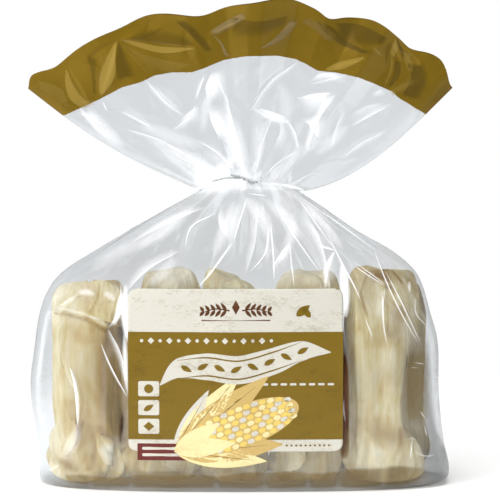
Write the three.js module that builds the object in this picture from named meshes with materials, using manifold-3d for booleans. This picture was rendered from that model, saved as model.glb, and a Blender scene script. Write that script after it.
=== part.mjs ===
// A tied clear film bag of six husk-wrapped tamales, with a front label and a wire tie.
// Millimetres, +Z up, front towards -Y. The origin is at the bottom centre of the whole bag.
//
// The bag is one solid out to the film: a filled body on a flat base, shoulders that gather into a
// flat neck, and above the tie an open, ruffled frill. Every surface comes from two functions,
// bodyPoint and frillPoint, so the label and the tie follow the film that carries them.
import * as THREE from "three";
import { mergeVertices } from "three/addons/utils/BufferGeometryUtils.js";
import Module from "manifold-3d";

// ---- Driving dimensions: the filled body ----

// The outline from the base to the neck: where the left and right side folds lie, half the depth
// from front to back, and the exponent of the superellipse that is the section.
const BODY_STATIONS = [
  { z: 0, left: -130.5, right: 131, depth: 40, squareness: 2.8 },
  { z: 6, left: -131.5, right: 136.5, depth: 41, squareness: 2.9 },
  { z: 27, left: -132.5, right: 133, depth: 42, squareness: 3.1 },
  { z: 60, left: -137, right: 130, depth: 42, squareness: 3.3 },
  { z: 88, left: -134, right: 128.5, depth: 41, squareness: 3.3 },
  { z: 110, left: -130.5, right: 124, depth: 38.5, squareness: 3.1 },
  { z: 128, left: -123.5, right: 119, depth: 35.5, squareness: 2.9 },
  { z: 139, left: -113.5, right: 113, depth: 32.5, squareness: 2.6 },
  { z: 152, left: -93, right: 97.5, depth: 28, squareness: 2.3 },
  { z: 165, left: -71, right: 74, depth: 22.5, squareness: 2.1 },
  { z: 178, left: -48, right: 56, depth: 16, squareness: 2 },
  { z: 190.5, left: -25.5, right: 37, depth: 10.5, squareness: 2 },
];
const BASE_INSET = 1.5; // the flat base is this much smaller than the lowest station all round
const FILL_HEIGHT = 128; // the tamales' tops, where the shoulders begin
const NECK_HEIGHT = 190.5; // the tie's height at the two side folds
const NECK_FRONT_LIFT = 6.5; // the film is drawn up to the tie this much higher in front

// The tamales press the film out in upright ribs: x of each, -1 for the front or 1 for the back,
// and how far it stands out.
const TAMALE_RIBS = [
  { x: -97, face: -1, height: 3.2 },
  { x: -6, face: -1, height: 1.8 },
  { x: 90, face: -1, height: 3.2 },
  { x: -48, face: 1, height: 3.2 },
  { x: 42, face: 1, height: 3.2 },
  { x: 101, face: 1, height: 2.4 },
];
const RIB_WIDTH = 17;

// ---- Driving dimensions: the frill above the tie ----

// The frill is a fan whose side folds, drawn downwards, meet at the apex.
const FRILL_APEX = { x: 6.5, z: 173.8 };
const FRILL_LEAN = { left: 60, right: 57.5 }; // degrees from upright to the mouth's two corners
const FRILL_RADIUS = 136.5; // from the apex straight up to the mouth
const FRILL_CORNER_REACH = 26; // how much further from the apex the mouth's two corners are
const FRILL_SAG = { left: 5.5, right: 10.8 }; // how far the two side folds sag out of straight
const SAG_RISE = { left: 1, right: 0.72 }; // 1 sags most half way up, and a lower power lower down
const SAG_REACH = 5; // the higher this power, the nearer the side folds the sag stays
const FRILL_DEPTH = 13; // half the gap between the front and back film at the mouth
const FRILL_FLOOR = 0.45; // where the hollow of the frill ends, from 0 at the neck to 1 at the mouth
const FRILL_FACE_WALL = 0.1; // thickness of the front and back film, as a share of the half depth
const FRILL_SIDE_WALL = 0.02; // and at the side folds, as a share of the half width

// The mouth's ruffles: where each is across the fan, from -1 at the left corner to 1 at the right,
// how far it rises beyond the plain arch, and how wide it is.
const MOUTH_RUFFLES = [
  { at: -0.95, rise: 7, width: 0.05 },
  { at: -0.72, rise: 3.5, width: 0.16 },
  { at: -0.46, rise: 3.5, width: 0.1 },
  { at: -0.23, rise: -5, width: 0.1 },
  { at: 0.17, rise: 5, width: 0.12 },
  { at: 0.385, rise: -3.5, width: 0.05 },
  { at: 0.57, rise: 4.5, width: 0.1 },
  { at: 0.76, rise: -2, width: 0.05 },
  { at: 0.86, rise: 3, width: 0.06 },
  { at: 1, rise: -7.5, width: 0.07 },
];

// ---- Driving dimensions: gathers, label and tie ----

// Sharp folds that fan out from the neck, in two overlaid sets of so many a turn.
const GATHER_SETS = [
  { count: 11, share: 0.62, phase: 0.4 },
  { count: 17, share: 0.38, phase: 1.9 },
];
const SHOULDER_GATHER = 3.2; // fold height half way up the shoulders
const NECK_GATHER = 0.9; // fold height under the tie
const MOUTH_GATHER = 5; // fold height at the mouth

const LABEL = { width: 137, height: 104, corner: 5.5, x: -2.7, z: 79, gap: 0.5, thickness: 0.5 };

const WIRE_RADIUS = 0.65;
const LOOP_SIDE_GAP = 4.4; // the loop's middle line from the neck at its side folds
const LOOP_FACE_GAP = 2.4; // and from the neck's front and back
const TWIST_START = new THREE.Vector3(9, -16.6, 197.2);
const TWIST_END = new THREE.Vector3(0.5, -18, 200.8);
const TWIST_TURNS = 1.5;
const STRAND_OFFSET = 0.6; // of the two strands from the twist's middle line
const LONG_TAIL = [new THREE.Vector3(-17.5, -18.4, 198.2), new THREE.Vector3(-8, -18.3, 200.4)];
const SHORT_TAIL = [new THREE.Vector3(-5.5, -20.4, 202.6), new THREE.Vector3(-3, -19.4, 201.8)];

// ---- Mesh resolution ----
const AROUND = 96;
const BODY_RINGS = [
  2.5, 7, 16, 28, 44, 60, 74, 88, 100, 111, 120, 128, 136, 144, 152, 160, 168, 176, 184,
];
const FRILL_RINGS = 9;
const HOLLOW_RINGS = 5;
const LABEL_ROWS = 22;
const LABEL_COLUMNS = 16;
const WIRE_SIDES = 8;
const WIRE_STEPS = 66;
const LOOP_STEPS = 14;
const TWIST_STEPS = 10;

const FILM = new THREE.MeshStandardMaterial({ color: 0xdadcda, roughness: 0.15 });
const LABEL_PRINT = new THREE.MeshStandardMaterial({ color: 0x82691f, roughness: 0.45 });
const WIRE = new THREE.MeshStandardMaterial({ color: 0x7d8281, roughness: 0.4, metalness: 0.3 });

// ---- Small helpers ----
const { clamp, lerp, smoothstep } = THREE.MathUtils;
const QUARTER = Math.PI / 2;
const signedPower = (value, power) => Math.sign(value) * Math.abs(value) ** power;
const bump = (distance, width) => Math.exp(-((distance / width) ** 2));
const range = (count) => Array.from({ length: count }, (_, i) => i);

// A triangle wave between -1 and 1, because creased film has sharp folds.
const foldWave = (turns) => 1 - 4 * Math.abs(turns - Math.floor(turns) - 0.5);

// A smooth curve through one value of the body's stations, made of cubic pieces.
function stationValue(z, key) {
  const last = BODY_STATIONS.length - 1;
  const above = BODY_STATIONS.findIndex((station) => station.z >= z);
  const i = above < 0 ? last : Math.max(above, 1);
  const [low, high] = [BODY_STATIONS[i - 1], BODY_STATIONS[i]];
  const slope = (j) => {
    const [before, after] = [BODY_STATIONS[Math.max(j - 1, 0)], BODY_STATIONS[Math.min(j + 1, last)]];
    return (after[key] - before[key]) / (after.z - before.z);
  };
  const span = high.z - low.z;
  const t = clamp((z - low.z) / span, 0, 1);
  const start = (1 + 2 * t) * (1 - t) ** 2;
  const leave = t * (1 - t) ** 2 * span;
  const arrive = t * t * (t - 1) * span;
  return start * low[key] + (1 - start) * high[key] + leave * slope(i - 1) + arrive * slope(i);
}

// ---- The film's shape ----
// A position round the bag is a turn in radians: 0 at the right side fold, then the back, the left
// side fold and the front.

function section(z) {
  const [left, right] = [stationValue(z, "left"), stationValue(z, "right")];
  return {
    middle: (left + right) / 2,
    halfWidth: (right - left) / 2,
    depth: stationValue(z, "depth"),
    squareness: stationValue(z, "squareness"),
  };
}

// Evens out the spacing of points round a squarish superellipse, which crowds them at its corners.
function superellipseAngle(turn, squareness) {
  const evening = clamp((squareness - 2) / 1.3, 0, 1) * 0.8;
  return turn - (evening * Math.sin(4 * turn)) / 4;
}

// The gathers' relief round the film, from -1 to 1. It fades out at the two side folds.
function gatherRelief(turn) {
  const folds = GATHER_SETS.map(({ count, share, phase }) => {
    const drift = 0.35 * Math.sin(2 * turn + phase);
    return share * foldWave((count * turn) / (2 * Math.PI) + drift + phase);
  });
  return Math.abs(Math.sin(turn)) ** 0.6 * folds.reduce((sum, fold) => sum + fold, 0);
}

function gatherHeight(z) {
  const rise = smoothstep(z, FILL_HEIGHT - 4, FILL_HEIGHT + 36);
  return rise * lerp(SHOULDER_GATHER, NECK_GATHER, smoothstep(z, 168, NECK_HEIGHT - 3));
}

// How far the tamales push the film out at x on the front (face -1) or the back (face 1).
function ribRelief(x, z, face) {
  const upright = smoothstep(z, 6, 30) * (1 - smoothstep(z, 102, FILL_HEIGHT + 4));
  const ribs = TAMALE_RIBS.filter((rib) => rib.face === face);
  return upright * ribs.reduce((sum, rib) => sum + rib.height * bump(x - rib.x, RIB_WIDTH), 0);
}

function bodyPoint(turn, z) {
  const { middle, halfWidth, depth, squareness } = section(z);
  const angle = superellipseAngle(turn, squareness);
  const x = middle + halfWidth * signedPower(Math.cos(angle), 2 / squareness);
  const face = Math.sign(Math.sin(turn));
  const sideFade = Math.min(1, Math.abs(Math.sin(turn)) * 4);
  const relief = face * sideFade * ribRelief(x, z, face);
  const gather = Math.sin(turn) * gatherHeight(z) * gatherRelief(turn);
  const y = depth * signedPower(Math.sin(angle), 2 / squareness) + relief + gather;
  const lift = NECK_FRONT_LIFT * Math.max(-Math.sin(turn), 0) ** 1.5;
  return new THREE.Vector3(x, y, z + lift * smoothstep(z, FILL_HEIGHT + 10, NECK_HEIGHT));
}

// The y of the front film at a point of the label.
function frontFilm(x, z) {
  const { middle, halfWidth, depth, squareness } = section(z);
  const across = Math.abs((x - middle) / halfWidth);
  return -depth * (1 - across ** squareness) ** (1 / squareness) - ribRelief(x, z, -1);
}

function mouthRadius(across) {
  const ruffles = MOUTH_RUFFLES.map(({ at, rise, width }) => rise * bump(across - at, width));
  const arch = FRILL_RADIUS + FRILL_CORNER_REACH * across ** 2;
  return ruffles.reduce((sum, ruffle) => sum + ruffle, arch);
}

// A point of the frill's film, from the neck (height 0) to the mouth (height 1).
function frillPoint(turn, height) {
  const across = Math.cos(turn);
  const facing = Math.sin(turn);
  const side = across > 0 ? "right" : "left";
  const tilt = across * THREE.MathUtils.degToRad(FRILL_LEAN[side]);
  const radius = mouthRadius(across);
  const folds = signedPower(facing, 1.5) * MOUTH_GATHER * gatherRelief(turn);
  const mouth = new THREE.Vector3(
    FRILL_APEX.x + radius * Math.sin(tilt),
    FRILL_DEPTH * signedPower(facing, 0.8) + folds,
    FRILL_APEX.z + radius * Math.cos(tilt),
  );
  const rise = Math.sin(Math.PI * height ** SAG_RISE[side]);
  const sag = FRILL_SAG[side] * Math.abs(across) ** SAG_REACH * rise;
  const sagged = new THREE.Vector3(Math.cos(tilt) * Math.sign(across), 0, -Math.abs(Math.sin(tilt)));
  return bodyPoint(turn, NECK_HEIGHT).lerp(mouth, height).addScaledVector(sagged, sag);
}

// The same point on the inner side of the film.
function frillInnerPoint(turn, height) {
  const point = frillPoint(turn, height);
  const middle = frillPoint(QUARTER, height).x;
  point.x = lerp(point.x, middle, FRILL_SIDE_WALL);
  point.y *= 1 - FRILL_FACE_WALL;
  return point;
}

// ---- Solids ----

function indexedGeometry(points, index) {
  const geometry = new THREE.BufferGeometry().setFromPoints(points);
  geometry.setIndex(index);
  geometry.computeVertexNormals();
  return geometry;
}

const ring = (pointAt) => range(AROUND).map((i) => pointAt((i / AROUND) * 4 * QUARTER));

// A closed solid through a stack of rings. Each end is closed by triangles round its middle.
function loft(rings) {
  const points = rings.flat();
  const index = [];
  for (const row of range(rings.length - 1)) {
    for (const i of range(AROUND)) {
      const here = row * AROUND + i;
      const next = row * AROUND + ((i + 1) % AROUND);
      index.push(here, next, next + AROUND, here, next + AROUND, here + AROUND);
    }
  }
  for (const end of [0, rings.length - 1]) {
    const middle = rings[end].reduce((sum, point) => sum.add(point), new THREE.Vector3());
    const hub = points.push(middle.divideScalar(AROUND)) - 1;
    for (const i of range(AROUND)) {
      const here = end * AROUND + i;
      const next = end * AROUND + ((i + 1) % AROUND);
      index.push(hub, ...(end === 0 ? [next, here] : [here, next]));
    }
  }
  return indexedGeometry(points, index);
}

function bagGeometry() {
  const { middle, halfWidth, depth } = section(0);
  const base = ring((turn) => {
    const point = bodyPoint(turn, 0);
    point.x -= (BASE_INSET * (point.x - middle)) / halfWidth;
    point.y -= (BASE_INSET * point.y) / depth;
    return point;
  });
  const body = BODY_RINGS.map((z) => ring((turn) => bodyPoint(turn, z)));
  const frill = range(FRILL_RINGS).map((i) =>
    ring((turn) => frillPoint(turn, i / (FRILL_RINGS - 1))),
  );
  const hollow = range(HOLLOW_RINGS).map((i) =>
    ring((turn) => frillInnerPoint(turn, lerp(1, FRILL_FLOOR, i / (HOLLOW_RINGS - 1)))),
  );
  return loft([base, ...body, ...frill, ...hollow]);
}

// The label is a thin panel of two sheets, inner and outer, joined round their edges. Its rows lie
// closer together towards the top and bottom, where they follow the rounded corners.
function labelGeometry() {
  const { width, height, corner, x, z, gap, thickness } = LABEL;
  const halfWidthAt = (level) => {
    const intoCorner = Math.max(Math.abs(level) - (height / 2 - corner), 0);
    return width / 2 - corner + Math.sqrt(Math.max(corner ** 2 - intoCorner ** 2, 0));
  };
  const points = [];
  for (const offset of [gap, gap + thickness]) {
    for (const i of range(LABEL_ROWS + 1)) {
      const level = (height / 2) * Math.sin((2 * i) / LABEL_ROWS * QUARTER - QUARTER);
      for (const j of range(LABEL_COLUMNS + 1)) {
        const pointX = x + halfWidthAt(level) * ((2 * j) / LABEL_COLUMNS - 1);
        points.push(new THREE.Vector3(pointX, frontFilm(pointX, z + level) - offset, z + level));
      }
    }
  }
  const stride = LABEL_COLUMNS + 1;
  const outer = stride * (LABEL_ROWS + 1);
  const index = [];
  const quad = (a, b, c, d) => index.push(a, b, c, a, c, d);
  for (const i of range(LABEL_ROWS)) {
    for (const j of range(LABEL_COLUMNS)) {
      const corner = i * stride + j;
      quad(corner, corner + stride, corner + stride + 1, corner + 1);
      quad(outer + corner, outer + corner + 1, outer + corner + stride + 1, outer + corner + stride);
    }
    const [left, right] = [i * stride, i * stride + LABEL_COLUMNS];
    quad(left, outer + left, outer + left + stride, left + stride);
    quad(right, right + stride, outer + right + stride, outer + right);
  }
  for (const j of range(LABEL_COLUMNS)) {
    const [bottom, top] = [j, LABEL_ROWS * stride + j];
    quad(bottom, bottom + 1, outer + bottom + 1, outer + bottom);
    quad(top, outer + top, outer + top + 1, top + 1);
  }
  return indexedGeometry(points, index);
}

function wireGeometry(points) {
  const round = new THREE.Shape();
  round.absarc(0, 0, WIRE_RADIUS, 0, 2 * Math.PI);
  return new THREE.ExtrudeGeometry(round, {
    curveSegments: WIRE_SIDES / 2,
    steps: WIRE_STEPS,
    extrudePath: new THREE.CatmullRomCurve3(points, false, "centripetal"),
  });
}

// The middle line of one half of the tie: from its tail through the twist, then half way round the
// neck. The side is 1 for the half that passes the right side fold and -1 for the left.
function tieHalf(tail, side) {
  const axis = TWIST_END.clone().sub(TWIST_START);
  const across = new THREE.Vector3(0, 0, 1).cross(axis).normalize();
  const upwards = axis.clone().normalize().cross(across);
  const twist = range(TWIST_STEPS + 1).map((i) => {
    const share = 1 - i / TWIST_STEPS;
    const angle = (share * TWIST_TURNS + side / 4) * 4 * QUARTER;
    return TWIST_START.clone()
      .addScaledVector(axis, share)
      .addScaledVector(across, STRAND_OFFSET * Math.cos(angle))
      .addScaledVector(upwards, STRAND_OFFSET * Math.sin(angle));
  });
  const { middle, halfWidth, depth } = section(NECK_HEIGHT);
  const loop = range(LOOP_STEPS + 1).map((i) => {
    const swept = lerp(-0.84, 1.06, i / LOOP_STEPS) * QUARTER;
    const turn = side > 0 ? swept : 2 * QUARTER - swept;
    return new THREE.Vector3(
      middle + (halfWidth + LOOP_SIDE_GAP) * Math.cos(turn),
      (depth + LOOP_FACE_GAP) * Math.sin(turn),
      bodyPoint(turn, NECK_HEIGHT).z,
    );
  });
  return [...tail, ...twist, ...loop];
}

// The two halves of the tie overlap in the twist and behind the neck, so they are joined there.
function tieGeometry() {
  const solids = [tieHalf(LONG_TAIL, 1), tieHalf(SHORT_TAIL, -1)].map((points) => {
    const bare = wireGeometry(points);
    bare.deleteAttribute("normal");
    bare.deleteAttribute("uv");
    const merged = mergeVertices(bare, 1e-3);
    return new manifold.Manifold(
      new manifold.Mesh({
        numProp: 3,
        vertProperties: merged.attributes.position.array,
        triVerts: new Uint32Array(merged.index.array),
      }),
    );
  });
  const joined = solids[0].add(solids[1]).getMesh();
  const geometry = new THREE.BufferGeometry();
  geometry.setAttribute("position", new THREE.BufferAttribute(joined.vertProperties, 3));
  geometry.setIndex(new THREE.BufferAttribute(joined.triVerts, 1));
  geometry.computeVertexNormals();
  return geometry;
}

// ---- The part ----
const manifold = await Module();
manifold.setup();

function named(name, geometry, material) {
  const mesh = new THREE.Mesh(geometry, material);
  mesh.name = name;
  return mesh;
}

const part = new THREE.Group();
part.add(named("bag", bagGeometry(), FILM));
part.add(named("label", labelGeometry(), LABEL_PRINT));
part.add(named("twist_tie", tieGeometry(), WIRE));
const centre = new THREE.Box3().setFromObject(part).getCenter(new THREE.Vector3());
part.position.set(-centre.x, -centre.y, 0);
export default part;
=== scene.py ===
"""A tied clear film bag of six husk-wrapped tamales, standing upright, dressed round its CAD frame.

Lengths are millimetres until a mesh is made, and front is -Y. The film follows the same formulas as
the CAD bag: a body that gathers into a neck, and above the tie an open frill with a gold band.
"""

import math

import bpy
import numpy as np
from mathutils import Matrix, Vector
from mathutils.bvhtree import BVHTree
from mathutils.geometry import delaunay_2d_cdt


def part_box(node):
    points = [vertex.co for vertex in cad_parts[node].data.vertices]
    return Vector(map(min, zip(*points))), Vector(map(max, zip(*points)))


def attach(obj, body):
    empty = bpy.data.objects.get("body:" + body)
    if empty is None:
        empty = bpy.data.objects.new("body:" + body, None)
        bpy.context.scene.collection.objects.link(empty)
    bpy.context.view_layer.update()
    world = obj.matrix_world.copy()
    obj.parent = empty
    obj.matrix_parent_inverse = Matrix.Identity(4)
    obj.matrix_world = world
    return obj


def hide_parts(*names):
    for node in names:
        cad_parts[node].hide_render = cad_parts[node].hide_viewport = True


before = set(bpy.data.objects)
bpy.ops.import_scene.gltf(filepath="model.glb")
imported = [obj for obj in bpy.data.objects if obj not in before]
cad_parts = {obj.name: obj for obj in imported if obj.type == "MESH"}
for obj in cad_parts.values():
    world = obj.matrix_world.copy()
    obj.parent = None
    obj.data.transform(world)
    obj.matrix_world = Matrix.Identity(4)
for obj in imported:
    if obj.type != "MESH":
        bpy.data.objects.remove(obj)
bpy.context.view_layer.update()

MM = 0.001

# ---- The film's form: the driving dimensions of the CAD bag ----

# z, left fold, right fold, half the depth, exponent of the superellipse section
BODY_STATIONS = np.array([
    (0, -130.5, 131, 40, 2.8),
    (6, -131.5, 136.5, 41, 2.9),
    (27, -132.5, 133, 42, 3.1),
    (60, -137, 130, 42, 3.3),
    (88, -134, 128.5, 41, 3.3),
    (110, -130.5, 124, 38.5, 3.1),
    (128, -123.5, 119, 35.5, 2.9),
    (139, -113.5, 113, 32.5, 2.6),
    (152, -93, 97.5, 28, 2.3),
    (165, -71, 74, 22.5, 2.1),
    (178, -48, 56, 16, 2),
    (190.5, -25.5, 37, 10.5, 2),
])
BASE_INSET = 1.5  # how far the lowest ring is drawn in
FILL_HEIGHT = 128  # up to which the tamales fill the bag
NECK_HEIGHT = 190.5
NECK_FRONT_LIFT = 6.5  # how much higher the neck is in front than at its sides
FRONT_RIBS = ((-97, 3.2), (-6, 1.8), (90, 3.2))  # x and height of each
BACK_RIBS = ((-48, 3.2), (42, 3.2), (101, 2.4))
RIB_WIDTH = 17
RIB_RISE = (6, 30)  # heights between which the ribs begin
RIB_END = (102, FILL_HEIGHT + 4)  # and between which they die away

FRILL_APEX = (6.5, 173.8)  # x and z of the point that the frill fans out from
FRILL_LEAN = (60, 57.5)  # degrees to which it fans out, left and right
FRILL_RADIUS = 136.5  # from the apex to the mouth
FRILL_CORNER_REACH = 26  # how much further the mouth's corners are from it
FRILL_SAG = (5.5, 10.8)  # how far the side edges sag, left and right
SAG_RISE = (1, 0.72)  # 1 where they sag most half way up, and less where that is lower down
SAG_REACH = 5  # the higher, the closer the sag keeps to the side edges
FRILL_DEPTH = 13  # half the mouth's depth
# across the fan from -1 to 1, rise beyond the plain arch, width
MOUTH_RUFFLES = (
    (-0.95, 7, 0.05), (-0.72, 3.5, 0.16), (-0.46, 3.5, 0.1), (-0.23, -5, 0.1), (0.17, 5, 0.12),
    (0.385, -3.5, 0.05), (0.57, 4.5, 0.1), (0.76, -2, 0.05), (0.86, 3, 0.06), (1, -7.5, 0.07),
)
GATHER_SETS = ((11, 0.62, 0.4), (17, 0.38, 1.9))  # folds a turn, share, phase
SHOULDER_GATHER = 3.2  # how deep the folds are on the shoulders, at the neck and at the mouth
NECK_GATHER = 0.9
MOUTH_GATHER = 5
GATHER_RISE = (FILL_HEIGHT - 4, FILL_HEIGHT + 36)  # heights between which the folds deepen
GATHER_FALL = (168, NECK_HEIGHT - 3)  # and between which they close up towards the neck

LABEL_SIZE = (137, 104)
LABEL_CORNER = 5.5
LABEL_CENTRE = (-2.7, 79)

# The lower edge of the gold print round the mouth, x and z.
BAND_EDGE = np.array([
    (-112.5, 239.5), (-90, 250), (-75, 258), (-63.5, 261), (-54, 265.5), (-43, 267.3), (-31, 267.3),
    (-22, 270.3), (-10, 275.3), (4, 277.7), (24, 277.9), (36, 275.7), (43, 272.3), (50, 268.2),
    (63, 267), (76, 264), (88, 259), (98.5, 254.5), (101.5, 251), (119.5, 240),
])

# ---- Mesh resolution ----
BACK_COLUMNS = 160
FRONT_COLUMNS = 340
BODY_ROWS = 184
BASE_ROWS = 6
FRILL_ROWS = 110
BAND_ROWS = 60


# ---- Numbers ----
def smoothstep(x, low, high):
    t = np.clip((x - low) / (high - low), 0, 1)
    return t * t * (3 - 2 * t)


def fall(x, low, high):
    return 1 - smoothstep(x, low, high)


def lerp(a, b, t):
    return a + (b - a) * t


def bump(distance, width):
    return np.exp(-((distance / width) ** 2))


def signed_power(value, power):
    return np.sign(value) * np.abs(value) ** power


def degrees_apart(angle, degrees):
    """How many degrees an angle in radians lies beyond one in degrees, from -180 to 180."""
    return (np.degrees(angle) - degrees + 180) % 360 - 180


def fold_wave(turns):
    """A triangle wave between -1 and 1: creased film has sharp folds."""
    return 1 - 4 * np.abs(turns - np.floor(turns) - 0.5)


def point_grid(x, y, z):
    return np.stack(np.broadcast_arrays(x, y, z), axis=-1).astype(float)


def share_grid(rows, columns, left=0):
    """Shares of 0 to 1 up the rows of a grid, and from left to 1 along its columns."""
    return np.meshgrid(np.linspace(0, 1, rows), np.linspace(left, 1, columns), indexing="ij")


def unit(vectors):
    return vectors / np.maximum(np.linalg.norm(vectors, axis=-1, keepdims=True), 1e-9)


def cubic(values, slopes, i, span, t):
    """The cubic piece between the values i - 1 and i, a share t of the span along it."""
    start = (1 + 2 * t) * (1 - t) ** 2
    ends = start * values[i - 1] + (1 - start) * values[i]
    return ends + t * (1 - t) ** 2 * span * slopes[i - 1] + t * t * (t - 1) * span * slopes[i]


def curve_through(points, steps):
    """A smooth curve through a few points."""
    points = np.array(points, float)
    chords = np.linalg.norm(np.diff(points, axis=0), axis=1)
    at = np.concatenate([[0], np.cumsum(chords)])
    s = np.linspace(0, at[-1], steps)
    i = np.clip(np.searchsorted(at, s), 1, len(at) - 1)
    span = (at[i] - at[i - 1])[:, None]
    t = (s - at[i - 1])[:, None] / span
    return cubic(points, np.gradient(points, at, axis=0), i, span, t)


def smooth_line(points, steps):
    """A smooth curve through points x, z, and the directions to the right of the way it runs."""
    line = curve_through(points, steps)
    along = np.gradient(line, axis=0)
    return line, unit(np.stack([along[:, 1], -along[:, 0]], axis=1))


# ---- The film's form: the CAD bag's formulas ----
def station_value(z, column):
    """A smooth curve through one column of the body's stations, made of cubic pieces."""
    heights, values = BODY_STATIONS[:, 0], BODY_STATIONS[:, column]
    last = len(heights) - 1
    j = np.arange(last + 1)
    before, after = np.maximum(j - 1, 0), np.minimum(j + 1, last)
    slopes = (values[after] - values[before]) / (heights[after] - heights[before])
    i = np.clip(np.searchsorted(heights, z), 1, last)
    span = heights[i] - heights[i - 1]
    t = np.clip((z - heights[i - 1]) / span, 0, 1)
    return cubic(values, slopes, i, span, t)


def section(z):
    left, right, depth, squareness = (station_value(z, column) for column in (1, 2, 3, 4))
    return (left + right) / 2, (right - left) / 2, depth, squareness


def gather_relief(turn):
    total = 0
    for count, share, phase in GATHER_SETS:
        drift = 0.35 * np.sin(2 * turn + phase)
        total = total + share * fold_wave(count * turn / (2 * np.pi) + drift + phase)
    return np.abs(np.sin(turn)) ** 0.6 * total


def gather_height(z):
    closing = smoothstep(z, *GATHER_FALL)
    return smoothstep(z, *GATHER_RISE) * lerp(SHOULDER_GATHER, NECK_GATHER, closing)


def rib_relief(x, z, ribs):
    upright = smoothstep(z, *RIB_RISE) * fall(z, *RIB_END)
    return upright * sum(height * bump(x - at, RIB_WIDTH) for at, height in ribs)


def body_point(turn, z):
    """A point of the film below the tie. Turn 0 is the right side fold, then the back comes."""
    middle, half_width, depth, squareness = section(z)
    evening = np.clip((squareness - 2) / 1.3, 0, 1) * 0.8
    angle = turn - evening * np.sin(4 * turn) / 4
    x = middle + half_width * signed_power(np.cos(angle), 2 / squareness)
    side_fade = np.minimum(1, np.abs(np.sin(turn)) * 4)
    ribs = np.where(
        np.sin(turn) > 0, rib_relief(x, z, BACK_RIBS), -rib_relief(x, z, FRONT_RIBS)
    )
    gather = np.sin(turn) * gather_height(z) * gather_relief(turn)
    y = depth * signed_power(np.sin(angle), 2 / squareness) + side_fade * ribs + gather
    lift = NECK_FRONT_LIFT * np.maximum(-np.sin(turn), 0) ** 1.5
    return point_grid(x, y, z + lift * smoothstep(z, FILL_HEIGHT + 10, NECK_HEIGHT))


def front_film(x, z):
    """The y of the front film at a point of the label."""
    middle, half_width, depth, squareness = section(z)
    across = np.abs((x - middle) / half_width)
    return -depth * (1 - across**squareness) ** (1 / squareness) - rib_relief(x, z, FRONT_RIBS)


def mouth_radius(across):
    arch = FRILL_RADIUS + FRILL_CORNER_REACH * across**2
    return arch + sum(rise * bump(across - at, width) for at, rise, width in MOUTH_RUFFLES)


def frill_point(turn, height):
    """A point of the film above the tie, from the neck (height 0) to the mouth (height 1)."""
    across, facing = np.cos(turn), np.sin(turn)
    lean = np.where(across > 0, FRILL_LEAN[1], FRILL_LEAN[0])
    sag_depth = np.where(across > 0, FRILL_SAG[1], FRILL_SAG[0])
    tilt = across * np.radians(lean)
    radius = mouth_radius(across)
    folds = signed_power(facing, 1.5) * MOUTH_GATHER * gather_relief(turn)
    mouth = point_grid(
        FRILL_APEX[0] + radius * np.sin(tilt),
        FRILL_DEPTH * signed_power(facing, 0.8) + folds,
        FRILL_APEX[1] + radius * np.cos(tilt),
    )
    rise = np.where(across > 0, SAG_RISE[1], SAG_RISE[0])
    sag = sag_depth * np.abs(across) ** SAG_REACH * np.sin(np.pi * height**rise)
    sagged = point_grid(np.cos(tilt) * np.sign(across), 0, -np.abs(np.sin(tilt)))
    neck = body_point(turn, NECK_HEIGHT)
    return lerp(neck, mouth, height[..., None]) + sagged * sag[..., None]


# The CAD model is centred on its own box, so the formulas' points are moved by the same amount.
sample_turns, sample_heights = np.meshgrid(np.linspace(0, 2 * np.pi, 97), np.arange(0, 129, 4))
formula_points = body_point(sample_turns, sample_heights).reshape(-1, 3)
bag_low, bag_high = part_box("bag")
formula_middle = (formula_points.min(0) + formula_points.max(0)) / 2
cad_middle = np.array((bag_low + bag_high) / 2) / MM
CENTRE_SHIFT = (cad_middle - formula_middle) * (1, 1, 0)


# ---- Meshes ----
def grid_quads(rows, columns, closed=False, first=0):
    """Quads of a grid of points stored row by row, facing along columns x rows."""
    i = np.arange(rows - 1)[:, None] * columns
    j = np.arange(columns if closed else columns - 1)[None, :]
    after = (j + 1) % columns
    quads = np.stack([i + j, i + after, i + columns + after, i + columns + j], axis=-1)
    return quads.reshape(-1, 4) + first


def make_piece(name, points, faces, materials, slot, replaced=None, face_materials=None):
    """A smooth-shaded mesh from points in the formulas' millimetres, riding on the one body."""
    placed = (np.asarray(points).reshape(-1, 3) + CENTRE_SHIFT) * MM
    mesh = bpy.data.meshes.new(name)
    mesh.from_pydata(placed.tolist(), [], [list(map(int, face)) for face in faces])
    mesh.polygons.foreach_set("use_smooth", [True] * len(mesh.polygons))
    for material in materials:
        mesh.materials.append(material)
    if face_materials is not None:
        mesh.polygons.foreach_set("material_index", face_materials)
    mesh.update()
    piece = bpy.data.objects.new(name, mesh)
    bpy.context.scene.collection.objects.link(piece)
    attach(piece, "root")
    if replaced:
        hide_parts(replaced)
    return piece


def grid_normals(grid, closed=True):
    """Unit normals of a grid of points, facing along columns x rows."""
    if closed:
        along = np.roll(grid, -1, axis=1) - np.roll(grid, 1, axis=1)
    else:
        along = np.gradient(grid, axis=1)
    return unit(np.cross(along, np.gradient(grid, axis=0)))


def outward(grid):
    """Level directions out of each ring of a grid."""
    along = np.roll(grid, -1, axis=1) - np.roll(grid, 1, axis=1)
    return unit(point_grid(along[..., 1], -along[..., 0], 0))


def thick_sheet(grid, thickness, first=0):
    """Points and faces of a closed thin sheet: an open grid, its copy pushed in, and a rim."""
    rows, columns = grid.shape[:2]
    inner = grid - grid_normals(grid, closed=False) * thickness
    points = np.concatenate([grid.reshape(-1, 3), inner.reshape(-1, 3)])
    outer_faces = grid_quads(rows, columns)
    inner_faces = outer_faces[:, ::-1] + rows * columns
    index = np.arange(rows * columns).reshape(rows, columns)
    edge = np.concatenate([index[0, :-1], index[:-1, -1], index[-1, :0:-1], index[:0:-1, 0]])
    after = np.roll(edge, -1)
    back = rows * columns
    rim = np.stack([after, edge, edge + back, after + back], axis=-1)
    return points, np.concatenate([outer_faces, inner_faces, rim]) + first


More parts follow.
